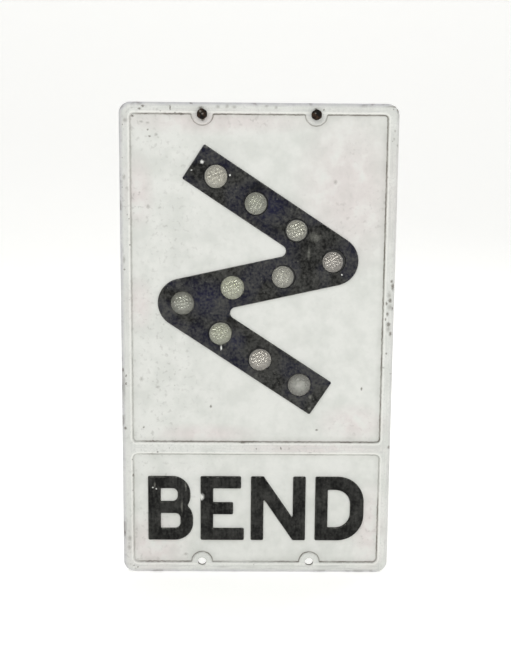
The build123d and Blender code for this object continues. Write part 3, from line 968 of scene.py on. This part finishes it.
def hole_grime_and_shade(paint):
    """Paint that ran into a fixing hole, and behind it the bare wall, stained with rust and darkened further
    as painted shade.
    """
    material, shader, add = start_material("hole_wall_grime_and_shade")
    solid = in_space(add)
    stain = add("TexNoise", solid, 1 / 3, 4.0)
    share = add("MapRange", stain, 0.35, 0.65)
    tone = add("Mix", share, paint.hole, paint.grime_and_shade, data_type="RGBA")
    depth = add("SeparateXYZ", solid).outputs["Y"]
    run = add("Math", stain, 4.0, depth, operation="MULTIPLY_ADD")
    cover = add("MapRange", run, -1.2, -2.0)
    tone = add("Mix", cover, tone, paint.white, data_type="RGBA")
    set_surface(shader, Base_Color=tone, Roughness=0.8)
    return material


def bare_casting(paint, size, layout):
    """Light alloy as it left the sand: grainy, dulled to grey, chalky with oxide, and darkened in its corners
    by soiling and painted shade.
    """
    material, shader, add = start_material("bare_cast_alloy")
    solid = in_space(add)
    shaken = shaken_by(add, without_depth(add, solid), 2.5)
    plate = plate_gap(add, shaken, size, layout)
    cloud = add("TexNoise", solid, 1 / 55, 6.0, 0.6)
    sand = add("TexNoise", solid, 1 / 1.6, 4.0, 0.6)
    darker = add("MapRange", cloud, 0.4, 0.72, 0, 0.8)
    tone = add("Mix", darker, paint.bare, paint.bare_dark, data_type="RGBA")
    bloom = add("TexNoise", shaken, 1 / 11, 5.0, 0.7)
    oxide = add("MapRange", bloom, 0.55, 0.68, 0, 0.55)
    tone = add("Mix", oxide, tone, paint.oxide, data_type="RGBA")
    grains = add("MapRange", sand, 0.6, 0.42, 0, 0.35)
    tone = add("Mix", grains, tone, paint.bare_dark, data_type="RGBA")
    # Painted shade: corners and recesses of the back darkened where ambient occlusion finds them closed in
    open_share = add("AmbientOcclusion", Distance=9 * MM).outputs["AO"]
    corners = add("MapRange", open_share, 0.85, 0.45, 0, 0.75)
    tone = add("Mix", corners, tone, paint.grime_and_shade, data_type="RGBA")
    streams = strokes(add, solid, 3.0, 40)[1]
    streams = add("MapRange", streams, 0.35, 0.6, 0.15, 0.8)
    runs = add("Math", blots(add, shaken, RUST_RUNS, 0.1), streams, operation="MULTIPLY")
    tone = add("Mix", runs, tone, paint.rust_run, data_type="RGBA")
    spill = add("MapRange", plate, -2.6, -1.2, 0, 0.9)
    tone = add("Mix", spill, tone, paint.white, data_type="RGBA")
    rough = add("MapRange", cloud, 0.3, 0.7, 0.45, 0.75)
    uneven = add("TexNoise", solid, 1 / 16, 2.0)
    swell = add("Bump", Height=uneven, Distance=0.9 * MM)
    grain = add("Bump", Height=sand, Distance=0.9 * MM, Normal=swell)
    set_surface(shader, Base_Color=tone, Roughness=rough, Metallic=0.45, Normal=grain)
    return material


def moulded_glass(reflector, paint):
    """Pressed soda-lime glass, tinted and filmed with age, with paint brushed over its rim."""
    material, shader, add = start_material("moulded_reflector_glass")
    solid = in_space(add)
    flat = without_depth(add, solid)
    warmth, gap, cloud, shade = (add("Attribute", attribute_name=name).outputs["Fac"]
                                 for name in ("warmth", "paint_gap", "cloud", "shade"))
    glass = add("Mix", warmth, reflector.glass, reflector.glass_warm, data_type="RGBA")
    glass = add("Mix", shade, glass, reflector.glass_dim, data_type="RGBA")
    ripple = add("TexNoise", flat, 1 / 3, 3.0)
    edge = add("Math", ripple, 0.9, gap, operation="MULTIPLY_ADD")
    cover = add("MapRange", edge, -0.5, 1.1, interpolation_type="SMOOTHSTEP")
    # Painted shade: the glass darkens towards its rim, further in and more strongly on the dimmer lenses
    reach = add("MapRange", shade, 0, 1, -4.0, -11.0)
    most = add("MapRange", shade, 0, 1, 0.22, 0.75)
    rim_shade = add("MapRange", edge, reach, 0.5, 0, most)
    glass = add("Mix", rim_shade, glass, paint.grime_and_shade, data_type="RGBA")
    tone = add("Mix", cover, glass, paint.black, data_type="RGBA")
    film = add("MapRange", ripple, 0.3, 0.7, 1.0, 0.8)
    clear = add("Math", 1.0, cloud, operation="SUBTRACT")
    bare = add("Math", 1.0, cover, operation="SUBTRACT")
    # The valleys between the prisms are darkened and made less clear, which draws them as a grid: painted
    # shade in the creases
    depth = add("SeparateXYZ", solid).outputs["Y"]
    rear = FLANGE_REAR / MM
    behind = add("MapRange", depth, rear - 0.06, rear)
    valley_shade = add("MapRange", depth, rear + 0.7, rear + 0.1, 0, 0.6)
    valley_shade = add("Math", valley_shade, behind, operation="MULTIPLY")
    tone = add("Mix", valley_shade, tone, paint.hole, data_type="RGBA")
    valley_shade = add("Math", 1.0, valley_shade, operation="SUBTRACT")
    for share in (film, bare, valley_shade):
        clear = add("Math", clear, share, operation="MULTIPLY")
    rough = add("MapRange", cover, 0, 1, 0.05, 0.5)
    set_surface(shader, Base_Color=tone, Roughness=rough, IOR=1.52, Transmission_Weight=clear)
    return material


def pressed_aluminium(reflector):
    """Aluminium sheet pressed over a punch: faint rings from the draw, dulled and spotted with oxide."""
    material, shader, add = start_material("pressed_aluminium")
    solid = in_space(add)
    radius = add("Attribute", attribute_name="radius").outputs["Fac"]
    rings = add("TexNoise", radius, 1 / 0.9, 2.0, noise_dimensions="1D")
    spots = add("TexNoise", solid, 1 / 4, 5.0, 0.65)
    dulled = add("MapRange", spots, 0.45, 0.65)
    tone = add("Mix", dulled, reflector.cup, reflector.cup_oxide, data_type="RGBA")
    rough = add("MapRange", spots, 0.35, 0.65, 0.35, 0.6)
    drawn = add("Bump", Height=rings, Strength=0.5, Distance=0.12 * MM)
    set_surface(shader, Base_Color=tone, Roughness=rough, Metallic=0.85, Normal=drawn)
    return material


def black_rubber(reflector):
    """Moulded black rubber, perished to a grey bloom."""
    material, shader, add = start_material("moulded_black_rubber")
    solid = in_space(add)
    bloom = add("TexNoise", solid, 1 / 2, 4.0)
    share = add("MapRange", bloom, 0.45, 0.7)
    tone = add("Mix", share, reflector.rubber, reflector.rubber_bloom, data_type="RGBA")
    grain = add("Bump", Height=bloom, Strength=0.4, Distance=0.1 * MM)
    set_surface(shader, Base_Color=tone, Roughness=0.75, Normal=grain)
    return material


def spring_wire(reflector, fixing):
    """Drawn spring wire: dull grey with rust starting in spots."""
    material, shader, add = start_material("drawn_spring_wire")
    solid = in_space(add)
    spots = add("TexNoise", solid, 1 / 2.5, 4.0)
    share = add("MapRange", spots, 0.52, 0.62)
    tone = add("Mix", share, reflector.wire, fixing.rust, data_type="RGBA")
    metal = add("MapRange", share, 0, 1, 1.0, 0.2)
    rough = add("MapRange", share, 0, 1, 0.38, 0.75)
    set_surface(shader, Base_Color=tone, Roughness=rough, Metallic=metal)
    return material


def rusty_steel(fixing):
    """Blackened steel, rusted in the weather: dark scale, brown bloom and small pits."""
    material, shader, add = start_material("rusted_black_steel")
    solid = in_space(add)
    shaken = shaken_by(add, without_depth(add, solid), 1.0)
    spots = add("TexNoise", solid, 1 / 3.5, 6.0, 0.65)
    share = add("MapRange", spots, 0.47, 0.62)
    tone = add("Mix", share, fixing.steel, fixing.rust, data_type="RGBA")
    depth = add("SeparateXYZ", solid).outputs["Y"]
    heads = add("MapRange", depth, FRONT / MM, FRONT / MM - 1, 0, 0.7)
    # Lighter patches on the bolt heads: partly worn steel, partly a painted highlight
    rubbed = add("Math", blots(add, shaken, RUBBED_STEEL_AND_HIGHLIGHT, 0.3, 1.5), heads, operation="MULTIPLY")
    tone = add("Mix", rubbed, tone, fixing.rubbed, data_type="RGBA")
    pits = add("Bump", Height=spots, Strength=0.6, Distance=0.4 * MM)
    set_surface(shader, Base_Color=tone, Roughness=0.7, Specular_IOR_Level=0.15, Normal=pits)
    return material


# Operators


# Slots of the plate's four finishes
WHITE, BLACK, BARE, WALL = range(4)


class SIGN_OT_cast_plate(bpy.types.Operator):
    """Model the casting with its border, panels, symbol, letters, bosses and bores"""
    bl_idname = "sign.cast_plate"
    bl_label = "Cast plate"

    def execute(self, context):
        size, symbol, paint = context.scene.sign_casting, context.scene.sign_symbol, context.scene.sign_paint
        layout = Layout(size)
        plate = plate_block(size)
        for count, loop in enumerate(panel_shapes(size, layout)):
            cut = step_up(f"panel_cut_{count}", [loop], FRONT - 0.3 * MM, FRONT, 1, scaled(PANEL_STEPS))
            combine(plate, cut, "DIFFERENCE")
        cut = step_up("hollow_cut", [hollow_shape(size)], RIM + 0.5 * MM, RIM, -1, scaled(HOLLOW_STEPS))
        combine(plate, cut, "DIFFERENCE")
        for shape in [symbol_shape(symbol, layout), *word_shapes(symbol, layout)]:
            start = layout.panel_y + SINK * MM
            raised = step_up("raised", shape, start, layout.panel_y, -1, scaled(RELIEF_STEPS))
            combine(plate, raised, "UNION")
        foot = circle(0, 0, size.boss_radius + BOSS_FOOT * MM)
        boss = step_up("boss", [foot], -SINK * MM, 0, 1, scaled(BOSS_STEPS))
        bore = spin("bore", bore_profile(size), steps=64)
        hole = spin("hole", hole_profile(), steps=32)
        for tool, spots, operation in ((boss, SPOTS, "UNION"), (bore, SPOTS, "DIFFERENCE"),
                                       (hole, UPPER_HOLES + LOWER_HOLES, "DIFFERENCE")):
            copies = [copy_to(tool, "copy", x, z) for x, z in spots]
            combine(plate, join("copies", copies), operation)
            bpy.data.objects.remove(tool)
        edit(plate)
        bpy.ops.mesh.select_all(action="SELECT")
        bpy.ops.mesh.remove_doubles(threshold=WELD)
        bpy.ops.mesh.dissolve_limited(angle_limit=radians(0.2))
        leave_edit()
        hand_over(plate, "sign_plate", "painted_casting", white_enamel(paint, size, layout),
                  black_enamel(paint, layout), bare_casting(paint, size, layout), hole_grime_and_shade(paint))
        self.share_finishes(plate, size, layout)
        smooth(plate)
        return {"FINISHED"}

    def share_finishes(self, plate, size, layout):
        """Give each face its paint by its place: black on the raised shapes, bare metal behind."""
        inset = 3 * MM
        holes = UPPER_HOLES + LOWER_HOLES

        def around(corners, spots, radius):
            """Whether all corners lie within a radius of one and the same spot."""
            return any(all((corner.x - x) ** 2 + (corner.z - z) ** 2 < radius ** 2 for corner in corners)
                       for x, z in spots)

        def in_panel(corner):
            """Whether a corner lies on a panel, clear of the border and lugs."""
            inside = abs(corner.x) < layout.half_width - inset and (
                layout.word_low + inset < corner.z < layout.word_high - inset
                or layout.upper_low + inset < corner.z < layout.upper_high - inset)
            return inside and not around([corner], holes, size.lug_radius + inset)

        def on_rim(corner):
            """Whether a corner lies on the plate's outer edge."""
            return abs(corner.x) > PLATE_HIGH.x - MM or not PLATE_LOW.z + MM < corner.z < PLATE_HIGH.z - MM

        def finish(face):
            """Slot of a face by its place."""
            depth = face.calc_center_median().y
            corners = [corner.co for corner in face.verts]
            if around(corners, holes, HOLE_RADIUS + 0.6 * MM):
                return WALL
            if around(corners, SPOTS, size.groove + MM / 10):
                return BLACK if depth < SEAL_HIGH.y else BARE
            if depth < layout.panel_y - NEAR and all(in_panel(corner) for corner in corners):
                return BLACK
            return BARE if depth > -MM / 10 and not all(on_rim(corner) for corner in corners) else WHITE

        for slot in (WHITE, BLACK, BARE, WALL):
            edit(plate)
            pick(plate, "FACE", lambda face: finish(face) == slot)
            plate.active_material_index = slot
            bpy.ops.object.material_slot_assign()
            leave_edit()


# How each lens differs: visible diameter in millimetres, turn of its prisms in degrees, place of the painted
# rim's middle against the lens in millimetres, and warmth, film and dimness of its glass
LensLook = namedtuple("LensLook", "visible turn x z warmth cloud shade")
LENS_LOOKS = [
    LensLook(24.5, 24, 0.7, -0.2, 0.6, 0.2, 0.0),
    LensLook(23.5, 62, -0.5, 0.0, 0.1, 0.18, 0.4),
    LensLook(22.4, 22, 0.2, 0.0, 0.4, 0.15, 0.25),
    LensLook(22.2, 30, -1.2, -0.9, 1.0, 0.13, 0.25),
    LensLook(23.8, 71, -1.0, -0.2, 0.5, 0.22, 0.4),
    LensLook(27.4, 17, 0.0, 0.0, 0.1, 0.15, 0.0),
    LensLook(27.0, 12, 0.0, -0.2, 0.0, 0.12, 0.65),
    LensLook(24.8, 26, 0.8, -0.5, 0.1, 0.13, 0.05),
    LensLook(24.4, 20, 0.6, -0.9, 0.9, 0.14, 0.15),
    LensLook(26.2, 0, 0.3, -0.4, 0.8, 0.3, 1.0),
]


class SIGN_OT_mould_lenses(bpy.types.Operator):
    """Model the glass lenses with their domes, flanges and prisms"""
    bl_idname = "sign.mould_lenses"
    bl_label = "Mould lenses"

    def execute(self, context):
        size = context.scene.sign_reflector
        edge = FRONT + size.edge_recess
        rise = edge - CROWN
        ball = (size.nose_radius ** 2 + rise ** 2) / (2 * rise)
        dome = [size.nose_radius * part / 10 for part in range(11)]
        profile = [(radius, CROWN + ball - sqrt(ball ** 2 - radius ** 2)) for radius in dome]
        soft = 0.3 * MM
        profile[-1] = (size.nose_radius - soft, profile[-1][1] - 0.05 * MM)
        profile += [(size.nose_radius, edge + soft), (size.nose_radius, SEAL_HIGH.y),
                    (FLANGE_RADIUS - soft, SEAL_HIGH.y), (FLANGE_RADIUS, SEAL_HIGH.y + soft),
                    (FLANGE_RADIUS, FLANGE_REAR - soft), (FLANGE_RADIUS - soft, FLANGE_REAR),
                    (0, FLANGE_REAR)]
        lens = spin("lens", profile, steps=64)
        combine(lens, self.prisms(size), "UNION")
        glass = moulded_glass(size, context.scene.sign_paint)
        for number, (x, z), look in zip(NUMBERS, SPOTS, LENS_LOOKS):
            copy = copy_to(lens, f"reflector_lens_{number}_finish", x, z, radians(look.turn))
            middle = Vector((x + look.x * MM, z + look.z * MM))
            note(copy, "paint_gap", lambda corner: (corner.xz - middle).length / MM - look.visible / 2)
            for name in ("warmth", "cloud", "shade"):
                note(copy, name, lambda corner: getattr(look, name))
            hand_over(copy, f"reflector_lens_{number}", "reflector_glass", glass)
            smooth(copy, 25)
        bpy.data.objects.remove(lens)
        return {"FINISHED"}

    def prisms(self, size):
        """Block of four-sided prisms that stands on the back of a lens."""
        count = 2 * round(size.field / size.prism)
        rows = 2 * round(size.field / size.prism_length)
        root = 0.8 * MM
        rear = FLANGE_REAR + 0.02 * MM
        deselect_all()
        bpy.ops.mesh.primitive_grid_add(x_subdivisions=count, y_subdivisions=rows, size=1,
                                        location=(0, rear - root, 0), rotation=(-pi / 2, 0, 0))
        bpy.ops.transform.resize(value=(count * size.prism, 1, rows * size.prism_length))
        block = named("prisms")
        edit(block)
        pick(block, "FACE", lambda face: max(corner.co.xz.length for corner in face.verts) > size.field)
        bpy.ops.mesh.delete(type="FACE")
        bpy.ops.mesh.select_all(action="SELECT")
        bpy.ops.mesh.extrude_region_move(TRANSFORM_OT_translate={"value": (0, root, 0)})
        pick(block, "FACE", lambda face: face.normal.y > 0.9 and face.calc_center_median().y > rear - MM / 10)
        bpy.ops.mesh.inset(thickness=size.prism_gap / 2, use_individual=True)
        bpy.ops.mesh.poke(offset=size.prism_height)
        weld()
        leave_edit()
        return block


def set_in_bores(model, kind, slot, finish):
    """Copy a model of a reflector's piece into all ten bores, and take the model away."""
    for number, (x, z) in zip(NUMBERS, SPOTS):
        copy = copy_to(model, f"reflector_{kind}_{number}_finish", x, z)
        hand_over(copy, f"reflector_{kind}_{number}", slot, finish)
        smooth(copy, 50)
    bpy.data.objects.remove(model)


class SIGN_OT_cut_seals(bpy.types.Operator):
    """Model the rubber seals between the lenses and the casting"""
    bl_idname = "sign.cut_seals"
    bl_label = "Cut seals"

    def execute(self, context):
        inner = context.scene.sign_casting.aperture
        soft = 0.25 * MM
        low, high = SEAL_LOW.y, SEAL_HIGH.y
        profile = [(inner + soft, low), (FLANGE_RADIUS - soft, low), (FLANGE_RADIUS, low + soft),
                   (FLANGE_RADIUS, high - soft), (FLANGE_RADIUS - soft, high), (inner + soft, high),
                   (inner, high - soft), (inner, low + soft)]
        seal = spin("seal", profile, closed=True, steps=48)
        set_in_bores(seal, "seal", "seal_rubber", black_rubber(context.scene.sign_reflector))
        return {"FINISHED"}


class SIGN_OT_press_cups(bpy.types.Operator):
    """Model the pressed cups that close the backs of the lenses"""
    bl_idname = "sign.press_cups"
    bl_label = "Press cups"

    def execute(self, context):
        size = context.scene.sign_reflector
        wall = size.cup_wall
        bowl_radius = FLANGE_RADIUS - size.cup_rim
        floor_radius = bowl_radius - size.cup_taper
        floor = CUP_HIGH.y - wall
        rear = CUP_LOW.y + wall
        soft = 0.5 * MM
        bead = 6.5 * MM
        profile = [(0, floor), (floor_radius - soft, floor), (floor_radius, floor - soft),
                   (bowl_radius, CUP_LOW.y), (FLANGE_RADIUS, CUP_LOW.y), (FLANGE_RADIUS, rear),
                   (bowl_radius + wall + soft, rear), (bowl_radius + wall, rear + soft),
                   (floor_radius + wall, CUP_HIGH.y - soft), (floor_radius + wall - soft, CUP_HIGH.y),
                   (bead + soft, CUP_HIGH.y), (bead, CUP_HIGH.y - soft / 2),
                   (bead - soft, CUP_HIGH.y - soft / 2), (bead - 2 * soft, CUP_HIGH.y), (0, CUP_HIGH.y)]
        cup = spin("cup", profile, steps=64)
        note(cup, "radius", lambda corner: corner.xz.length / MM)
        set_in_bores(cup, "cup", "cup_aluminium", pressed_aluminium(size))
        return {"FINISHED"}


class SIGN_OT_wind_rings(bpy.types.Operator):
    """Model the open spring rings that hold the reflectors in"""
    bl_idname = "sign.wind_rings"
    bl_label = "Wind rings"

    def execute(self, context):
        size = context.scene.sign_reflector
        wire = (RING_HIGH.y - RING_LOW.y) / 2
        middle = (RING_HIGH.x - RING_LOW.x) / 2 - wire
        depth = (RING_HIGH.y + RING_LOW.y) / 2
        profile = [(middle + across, depth + up) for across, up in circle(0, 0, wire, 12)]
        start = -pi / 2 + size.ring_opening / 2
        ring = spin("ring", profile, closed=True, steps=56, angle=2 * pi - size.ring_opening, start=start)
        set_in_bores(ring, "ring", "spring_steel", spring_wire(size, context.scene.sign_fixing))
        return {"FINISHED"}


def hexagon(name, across_flats, low, high, corner_up, chamfer_low, chamfer_high, worn):
    """Hexagonal block along Y with worn corners, chamfered at one or both ends."""
    radius = across_flats / sqrt(3)
    deselect_all()
    bpy.ops.mesh.primitive_cylinder_add(vertices=6, radius=radius, depth=high - low,
                                        location=(0, (low + high) / 2, 0), rotation=(pi / 2, 0, 0))
    block = named(name)
    first = max(block.data.vertices, key=lambda corner: corner.co.z).co
    upright = abs(first.x) < NEAR
    if upright != corner_up:
        bpy.ops.transform.rotate(value=pi / 6, orient_axis="Y", center_override=(0, 0, 0))
        bpy.ops.object.transform_apply(location=True, rotation=True, scale=True)
    edit(block)
    pick(block, "EDGE", lambda edge: abs(edge.verts[0].co.y - edge.verts[1].co.y) > MM)
    bpy.ops.mesh.bevel(offset=worn, segments=4, affect="EDGES")
    leave_edit()
    fall = 1.1 * MM
    inside = across_flats / 2 * 0.94
    outside = radius * 1.01
    front = [(0, low - fall), (outside, low - fall)]
    back = [(outside, high + fall), (0, high + fall)]
    if chamfer_low:
        front = [(0, low), (inside, low), (outside, low + fall)]
    if chamfer_high:
        back = [(outside, high - fall), (inside, high), (0, high)]
    combine(block, spin("chamfer", front + back, steps=48), "INTERSECT")
    return block


def set_in_lugs(model, kind, finish, crease):
    """Copy a model of a fixing into both upper lugs, and take the model away."""
    for side, (x, z) in zip(("left", "right"), UPPER_HOLES):
        copy = copy_to(model, f"fixing_{kind}_{side}", x, z)
        hand_over(copy, f"fixing_{kind}s", "rusty_steel", finish)
        smooth(copy, crease)
    bpy.data.objects.remove(model)


class SIGN_OT_forge_bolts(bpy.types.Operator):
    """Model the two hexagon bolts with their threads"""
    bl_idname = "sign.forge_bolts"
    bl_label = "Forge bolts"

    def execute(self, context):
        size = context.scene.sign_fixing
        flats = BOLT_HIGH.x - BOLT_LOW.x - 2 * HOLE_X - size.worn_flat
        bolt = hexagon("bolt", flats, BOLT_LOW.y, FRONT, True, True, False, size.worn_corner)
        radius = size.shank / 2
        thread_start = -1.0 * MM
        overlap = 0.2 * MM
        first, last = FRONT - overlap, thread_start + overlap
        neck = spin("neck", [(0, first), (radius, first), (radius, last), (0, last)], steps=32)
        combine(bolt, neck, "UNION")
        combine(bolt, self.thread(size, radius, thread_start), "UNION")
        edit(bolt)
        bpy.ops.mesh.select_all(action="SELECT")
        bpy.ops.mesh.dissolve_degenerate(threshold=WELD)
        leave_edit()
        set_in_lugs(bolt, "bolt", rusty_steel(size), 30)
        return {"FINISHED"}

    def thread(self, size, radius, start):
        """Threaded end, screwed from one pitch of the thread's profile and cut flat."""
        root = radius - size.thread_depth
        flat = size.pitch / 8
        piece = start_piece("thread")
        draw([(root, start - size.pitch, 0), (root, start - size.pitch + flat, 0),
              (radius, start - size.pitch / 2 - flat / 2, 0), (radius, start - size.pitch / 2 + flat / 2, 0),
              (root, start, 0)], closed=False)
        leave_edit()
        turns = round((BOLT_HIGH.y - start) / size.pitch) + 2
        screw = piece.modifiers.new("screw", "SCREW")
        screw.axis = "Y"
        screw.screw_offset = size.pitch
        screw.iterations = turns
        screw.steps = 24
        screw.render_steps = 24
        screw.use_merge_vertices = True
        choose(piece)
        bpy.ops.object.modifier_apply(modifier=screw.name)
        edit(piece)
        weld()
        for depth, way in ((start, -1), (BOLT_HIGH.y, 1)):
            bpy.ops.mesh.select_all(action="SELECT")
            bpy.ops.mesh.bisect(plane_co=(0, depth, 0), plane_no=(0, way, 0), use_fill=True, clear_outer=True,
                                threshold=WELD)
        weld()
        leave_edit()
        return piece


class SIGN_OT_punch_washers(bpy.types.Operator):
    """Model the washers behind the upper lugs"""
    bl_idname = "sign.punch_washers"
    bl_label = "Punch washers"

    def execute(self, context):
        size = context.scene.sign_fixing
        outer = (WASHER_HIGH.z - WASHER_LOW.z) / 2
        inner = size.shank / 2 + size.washer_gap
        soft = 0.3 * MM
        low, high = WASHER_LOW.y, WASHER_HIGH.y
        profile = [(inner, low), (outer - soft, low), (outer, low + soft), (outer, high - 1.5 * soft),
                   (outer - 1.5 * soft, high), (inner + soft, high), (inner, high - soft)]
        washer = spin("washer", profile, closed=True, steps=48)
        set_in_lugs(washer, "washer", bpy.data.materials["rusted_black_steel"], 40)
        return {"FINISHED"}


class SIGN_OT_forge_nuts(bpy.types.Operator):
    """Model the hexagon nuts behind the upper lugs"""
    bl_idname = "sign.forge_nuts"
    bl_label = "Forge nuts"

    def execute(self, context):
        size = context.scene.sign_fixing
        flats = NUT_HIGH.z - NUT_LOW.z
        nut = hexagon("nut", flats, NUT_LOW.y, NUT_HIGH.y, False, True, True, size.worn_corner / 3)
        bore = size.shank / 2 + size.nut_gap
        soft = 0.6 * MM
        proud = MM
        wide = bore + soft + proud
        profile = [(0, NUT_LOW.y - proud), (wide, NUT_LOW.y - proud), (bore, NUT_LOW.y + soft),
                   (bore, NUT_HIGH.y - soft), (wide, NUT_HIGH.y + proud), (0, NUT_HIGH.y + proud)]
        combine(nut, spin("nut_bore", profile, steps=32), "DIFFERENCE")
        set_in_lugs(nut, "nut", bpy.data.materials["rusted_black_steel"], 30)
        return {"FINISHED"}


# Studio in metres: paper with its middle, widening, rise and sweep, and lamps with place, size and watts
FLOOR_SIZE, FLOOR_MIDDLE, FLOOR_WIDENING = 8.0, 1.0, 2.5
WALL_HEIGHT, SWEEP_RADIUS = 5.0, 2.0
LAMP_AIM = Vector((0, 0, 0.25))
LAMPS = [("key_light", (-0.6, -1.7, 2.1), 1.8, 20), ("fill_light", (1.5, -1.9, 0.9), 1.6, 7),
         ("back_light", (0.9, 1.7, 2.1), 1.8, 20)]


class SIGN_OT_set_stage(bpy.types.Operator):
    """Set the floor, the light and the camera"""
    bl_idname = "sign.set_stage"
    bl_label = "Set stage"

    def execute(self, context):
        stage = context.scene.sign_stage
        self.floor(stage)
        self.light(context)
        self.camera(context, stage)
        return {"FINISHED"}

    def floor(self, stage):
        """Pale paper that sweeps up behind the sign."""
        deselect_all()
        bpy.ops.mesh.primitive_plane_add(size=FLOOR_SIZE, location=(0, FLOOR_MIDDLE, PLATE_LOW.z))
        bpy.ops.transform.resize(value=(FLOOR_WIDENING, 1, 1))
        sweep = named("studio_floor")
        back = FLOOR_MIDDLE + FLOOR_SIZE / 2 - NEAR

        def at_back(edge, top):
            """Whether an edge lies at the paper's back, below a height."""
            return all(corner.co.y > back and corner.co.z < top for corner in edge.verts)

        edit(sweep)
        pick(sweep, "EDGE", lambda edge: at_back(edge, WALL_HEIGHT))
        bpy.ops.mesh.extrude_region_move(TRANSFORM_OT_translate={"value": (0, 0, WALL_HEIGHT)})
        pick(sweep, "EDGE", lambda edge: at_back(edge, WALL_HEIGHT / 2))
        bpy.ops.mesh.bevel(offset=SWEEP_RADIUS, segments=24, affect="EDGES")
        leave_edit()
        choose(sweep)
        bpy.ops.object.shade_smooth()
        material, shader, _ = start_material("studio_paper")
        # Lit from below as well, like a light table, so that it stays white round the sign
        set_surface(shader, Base_Color=stage.floor, Roughness=0.9, Emission_Color=stage.floor,
                    Emission_Strength=0.4)
        sweep.data.materials.append(material)

    def light(self, context):
        """Soft white surroundings, two large soft lights in front and one behind."""
        world = bpy.data.worlds.new("studio")
        world.use_nodes = True
        background = world.node_tree.nodes["Background"]
        background.inputs["Color"].default_value = linear("#FFFFFF")
        background.inputs["Strength"].default_value = 0.5
        context.scene.world = world
        for name, place, size, power in LAMPS:
            deselect_all()
            bpy.ops.object.light_add(type="AREA", location=place)
            lamp = context.object
            lamp.name = name
            lamp.data.size = size
            lamp.data.energy = power
            lamp.rotation_euler = (LAMP_AIM - Vector(place)).to_track_quat("-Z", "Y").to_euler()

    def camera(self, context, stage):
        """Camera at the photograph's place and angle."""
        deselect_all()
        bpy.ops.object.camera_add()
        camera = context.object
        camera.name = "photo_camera"
        turned = (Matrix.Rotation(stage.yaw, 4, "Z") @ Matrix.Rotation(stage.pitch, 4, "X")
                  @ Matrix.Rotation(stage.roll, 4, "Y") @ Matrix.Rotation(pi / 2, 4, "X"))
        camera.matrix_world = Matrix.Translation((stage.camera_x, stage.camera_y, stage.camera_z)) @ turned
        camera.data.lens = stage.focal / max(FRAME_WIDTH, FRAME_HEIGHT) * camera.data.sensor_width
        camera.data.clip_start = 0.05
        context.scene.camera = camera
        context.scene.view_settings.view_transform = "Standard"


class SIGN_PT_sidebar(bpy.types.Panel):
    """Lists the settings and steps of the sign"""
    bl_idname = "SIGN_PT_sidebar"
    bl_label = "Bend Warning Sign"
    bl_space_type = "VIEW_3D"
    bl_region_type = "UI"
    bl_category = "Sign"

    def draw(self, context):
        for group in SETTINGS:
            box = self.layout.box()
            for name in SETTINGS[group].__annotations__:
                box.prop(getattr(context.scene, group), name)
        for step in STEPS:
            self.layout.operator(step.bl_idname)


SETTINGS = {
    "sign_casting": CastingSettings,
    "sign_symbol": SymbolSettings,
    "sign_paint": PaintSettings,
    "sign_reflector": ReflectorSettings,
    "sign_fixing": FixingSettings,
    "sign_stage": StageSettings,
}
STEPS = [SIGN_OT_cast_plate, SIGN_OT_mould_lenses, SIGN_OT_cut_seals, SIGN_OT_press_cups, SIGN_OT_wind_rings,
         SIGN_OT_forge_bolts, SIGN_OT_punch_washers, SIGN_OT_forge_nuts, SIGN_OT_set_stage]


def register():
    """Register the settings, operators and panel."""
    for name, group in SETTINGS.items():
        bpy.utils.register_class(group)
        setattr(bpy.types.Scene, name, PointerProperty(type=group))
    for entry in [*STEPS, SIGN_PT_sidebar]:
        bpy.utils.register_class(entry)


def unregister():
    """Remove the settings, operators and panel."""
    for entry in [SIGN_PT_sidebar, *reversed(STEPS)]:
        bpy.utils.unregister_class(entry)
    for name, group in SETTINGS.items():
        delattr(bpy.types.Scene, name)
        bpy.utils.unregister_class(group)


def main():
    """Build the sign step by step."""
    register()
    bpy.ops.sign.cast_plate()
    bpy.ops.sign.mould_lenses()
    bpy.ops.sign.cut_seals()
    bpy.ops.sign.press_cups()
    bpy.ops.sign.wind_rings()
    bpy.ops.sign.forge_bolts()
    bpy.ops.sign.punch_washers()
    bpy.ops.sign.forge_nuts()
    bpy.ops.sign.set_stage()


if __name__ == "__main__":
    main()
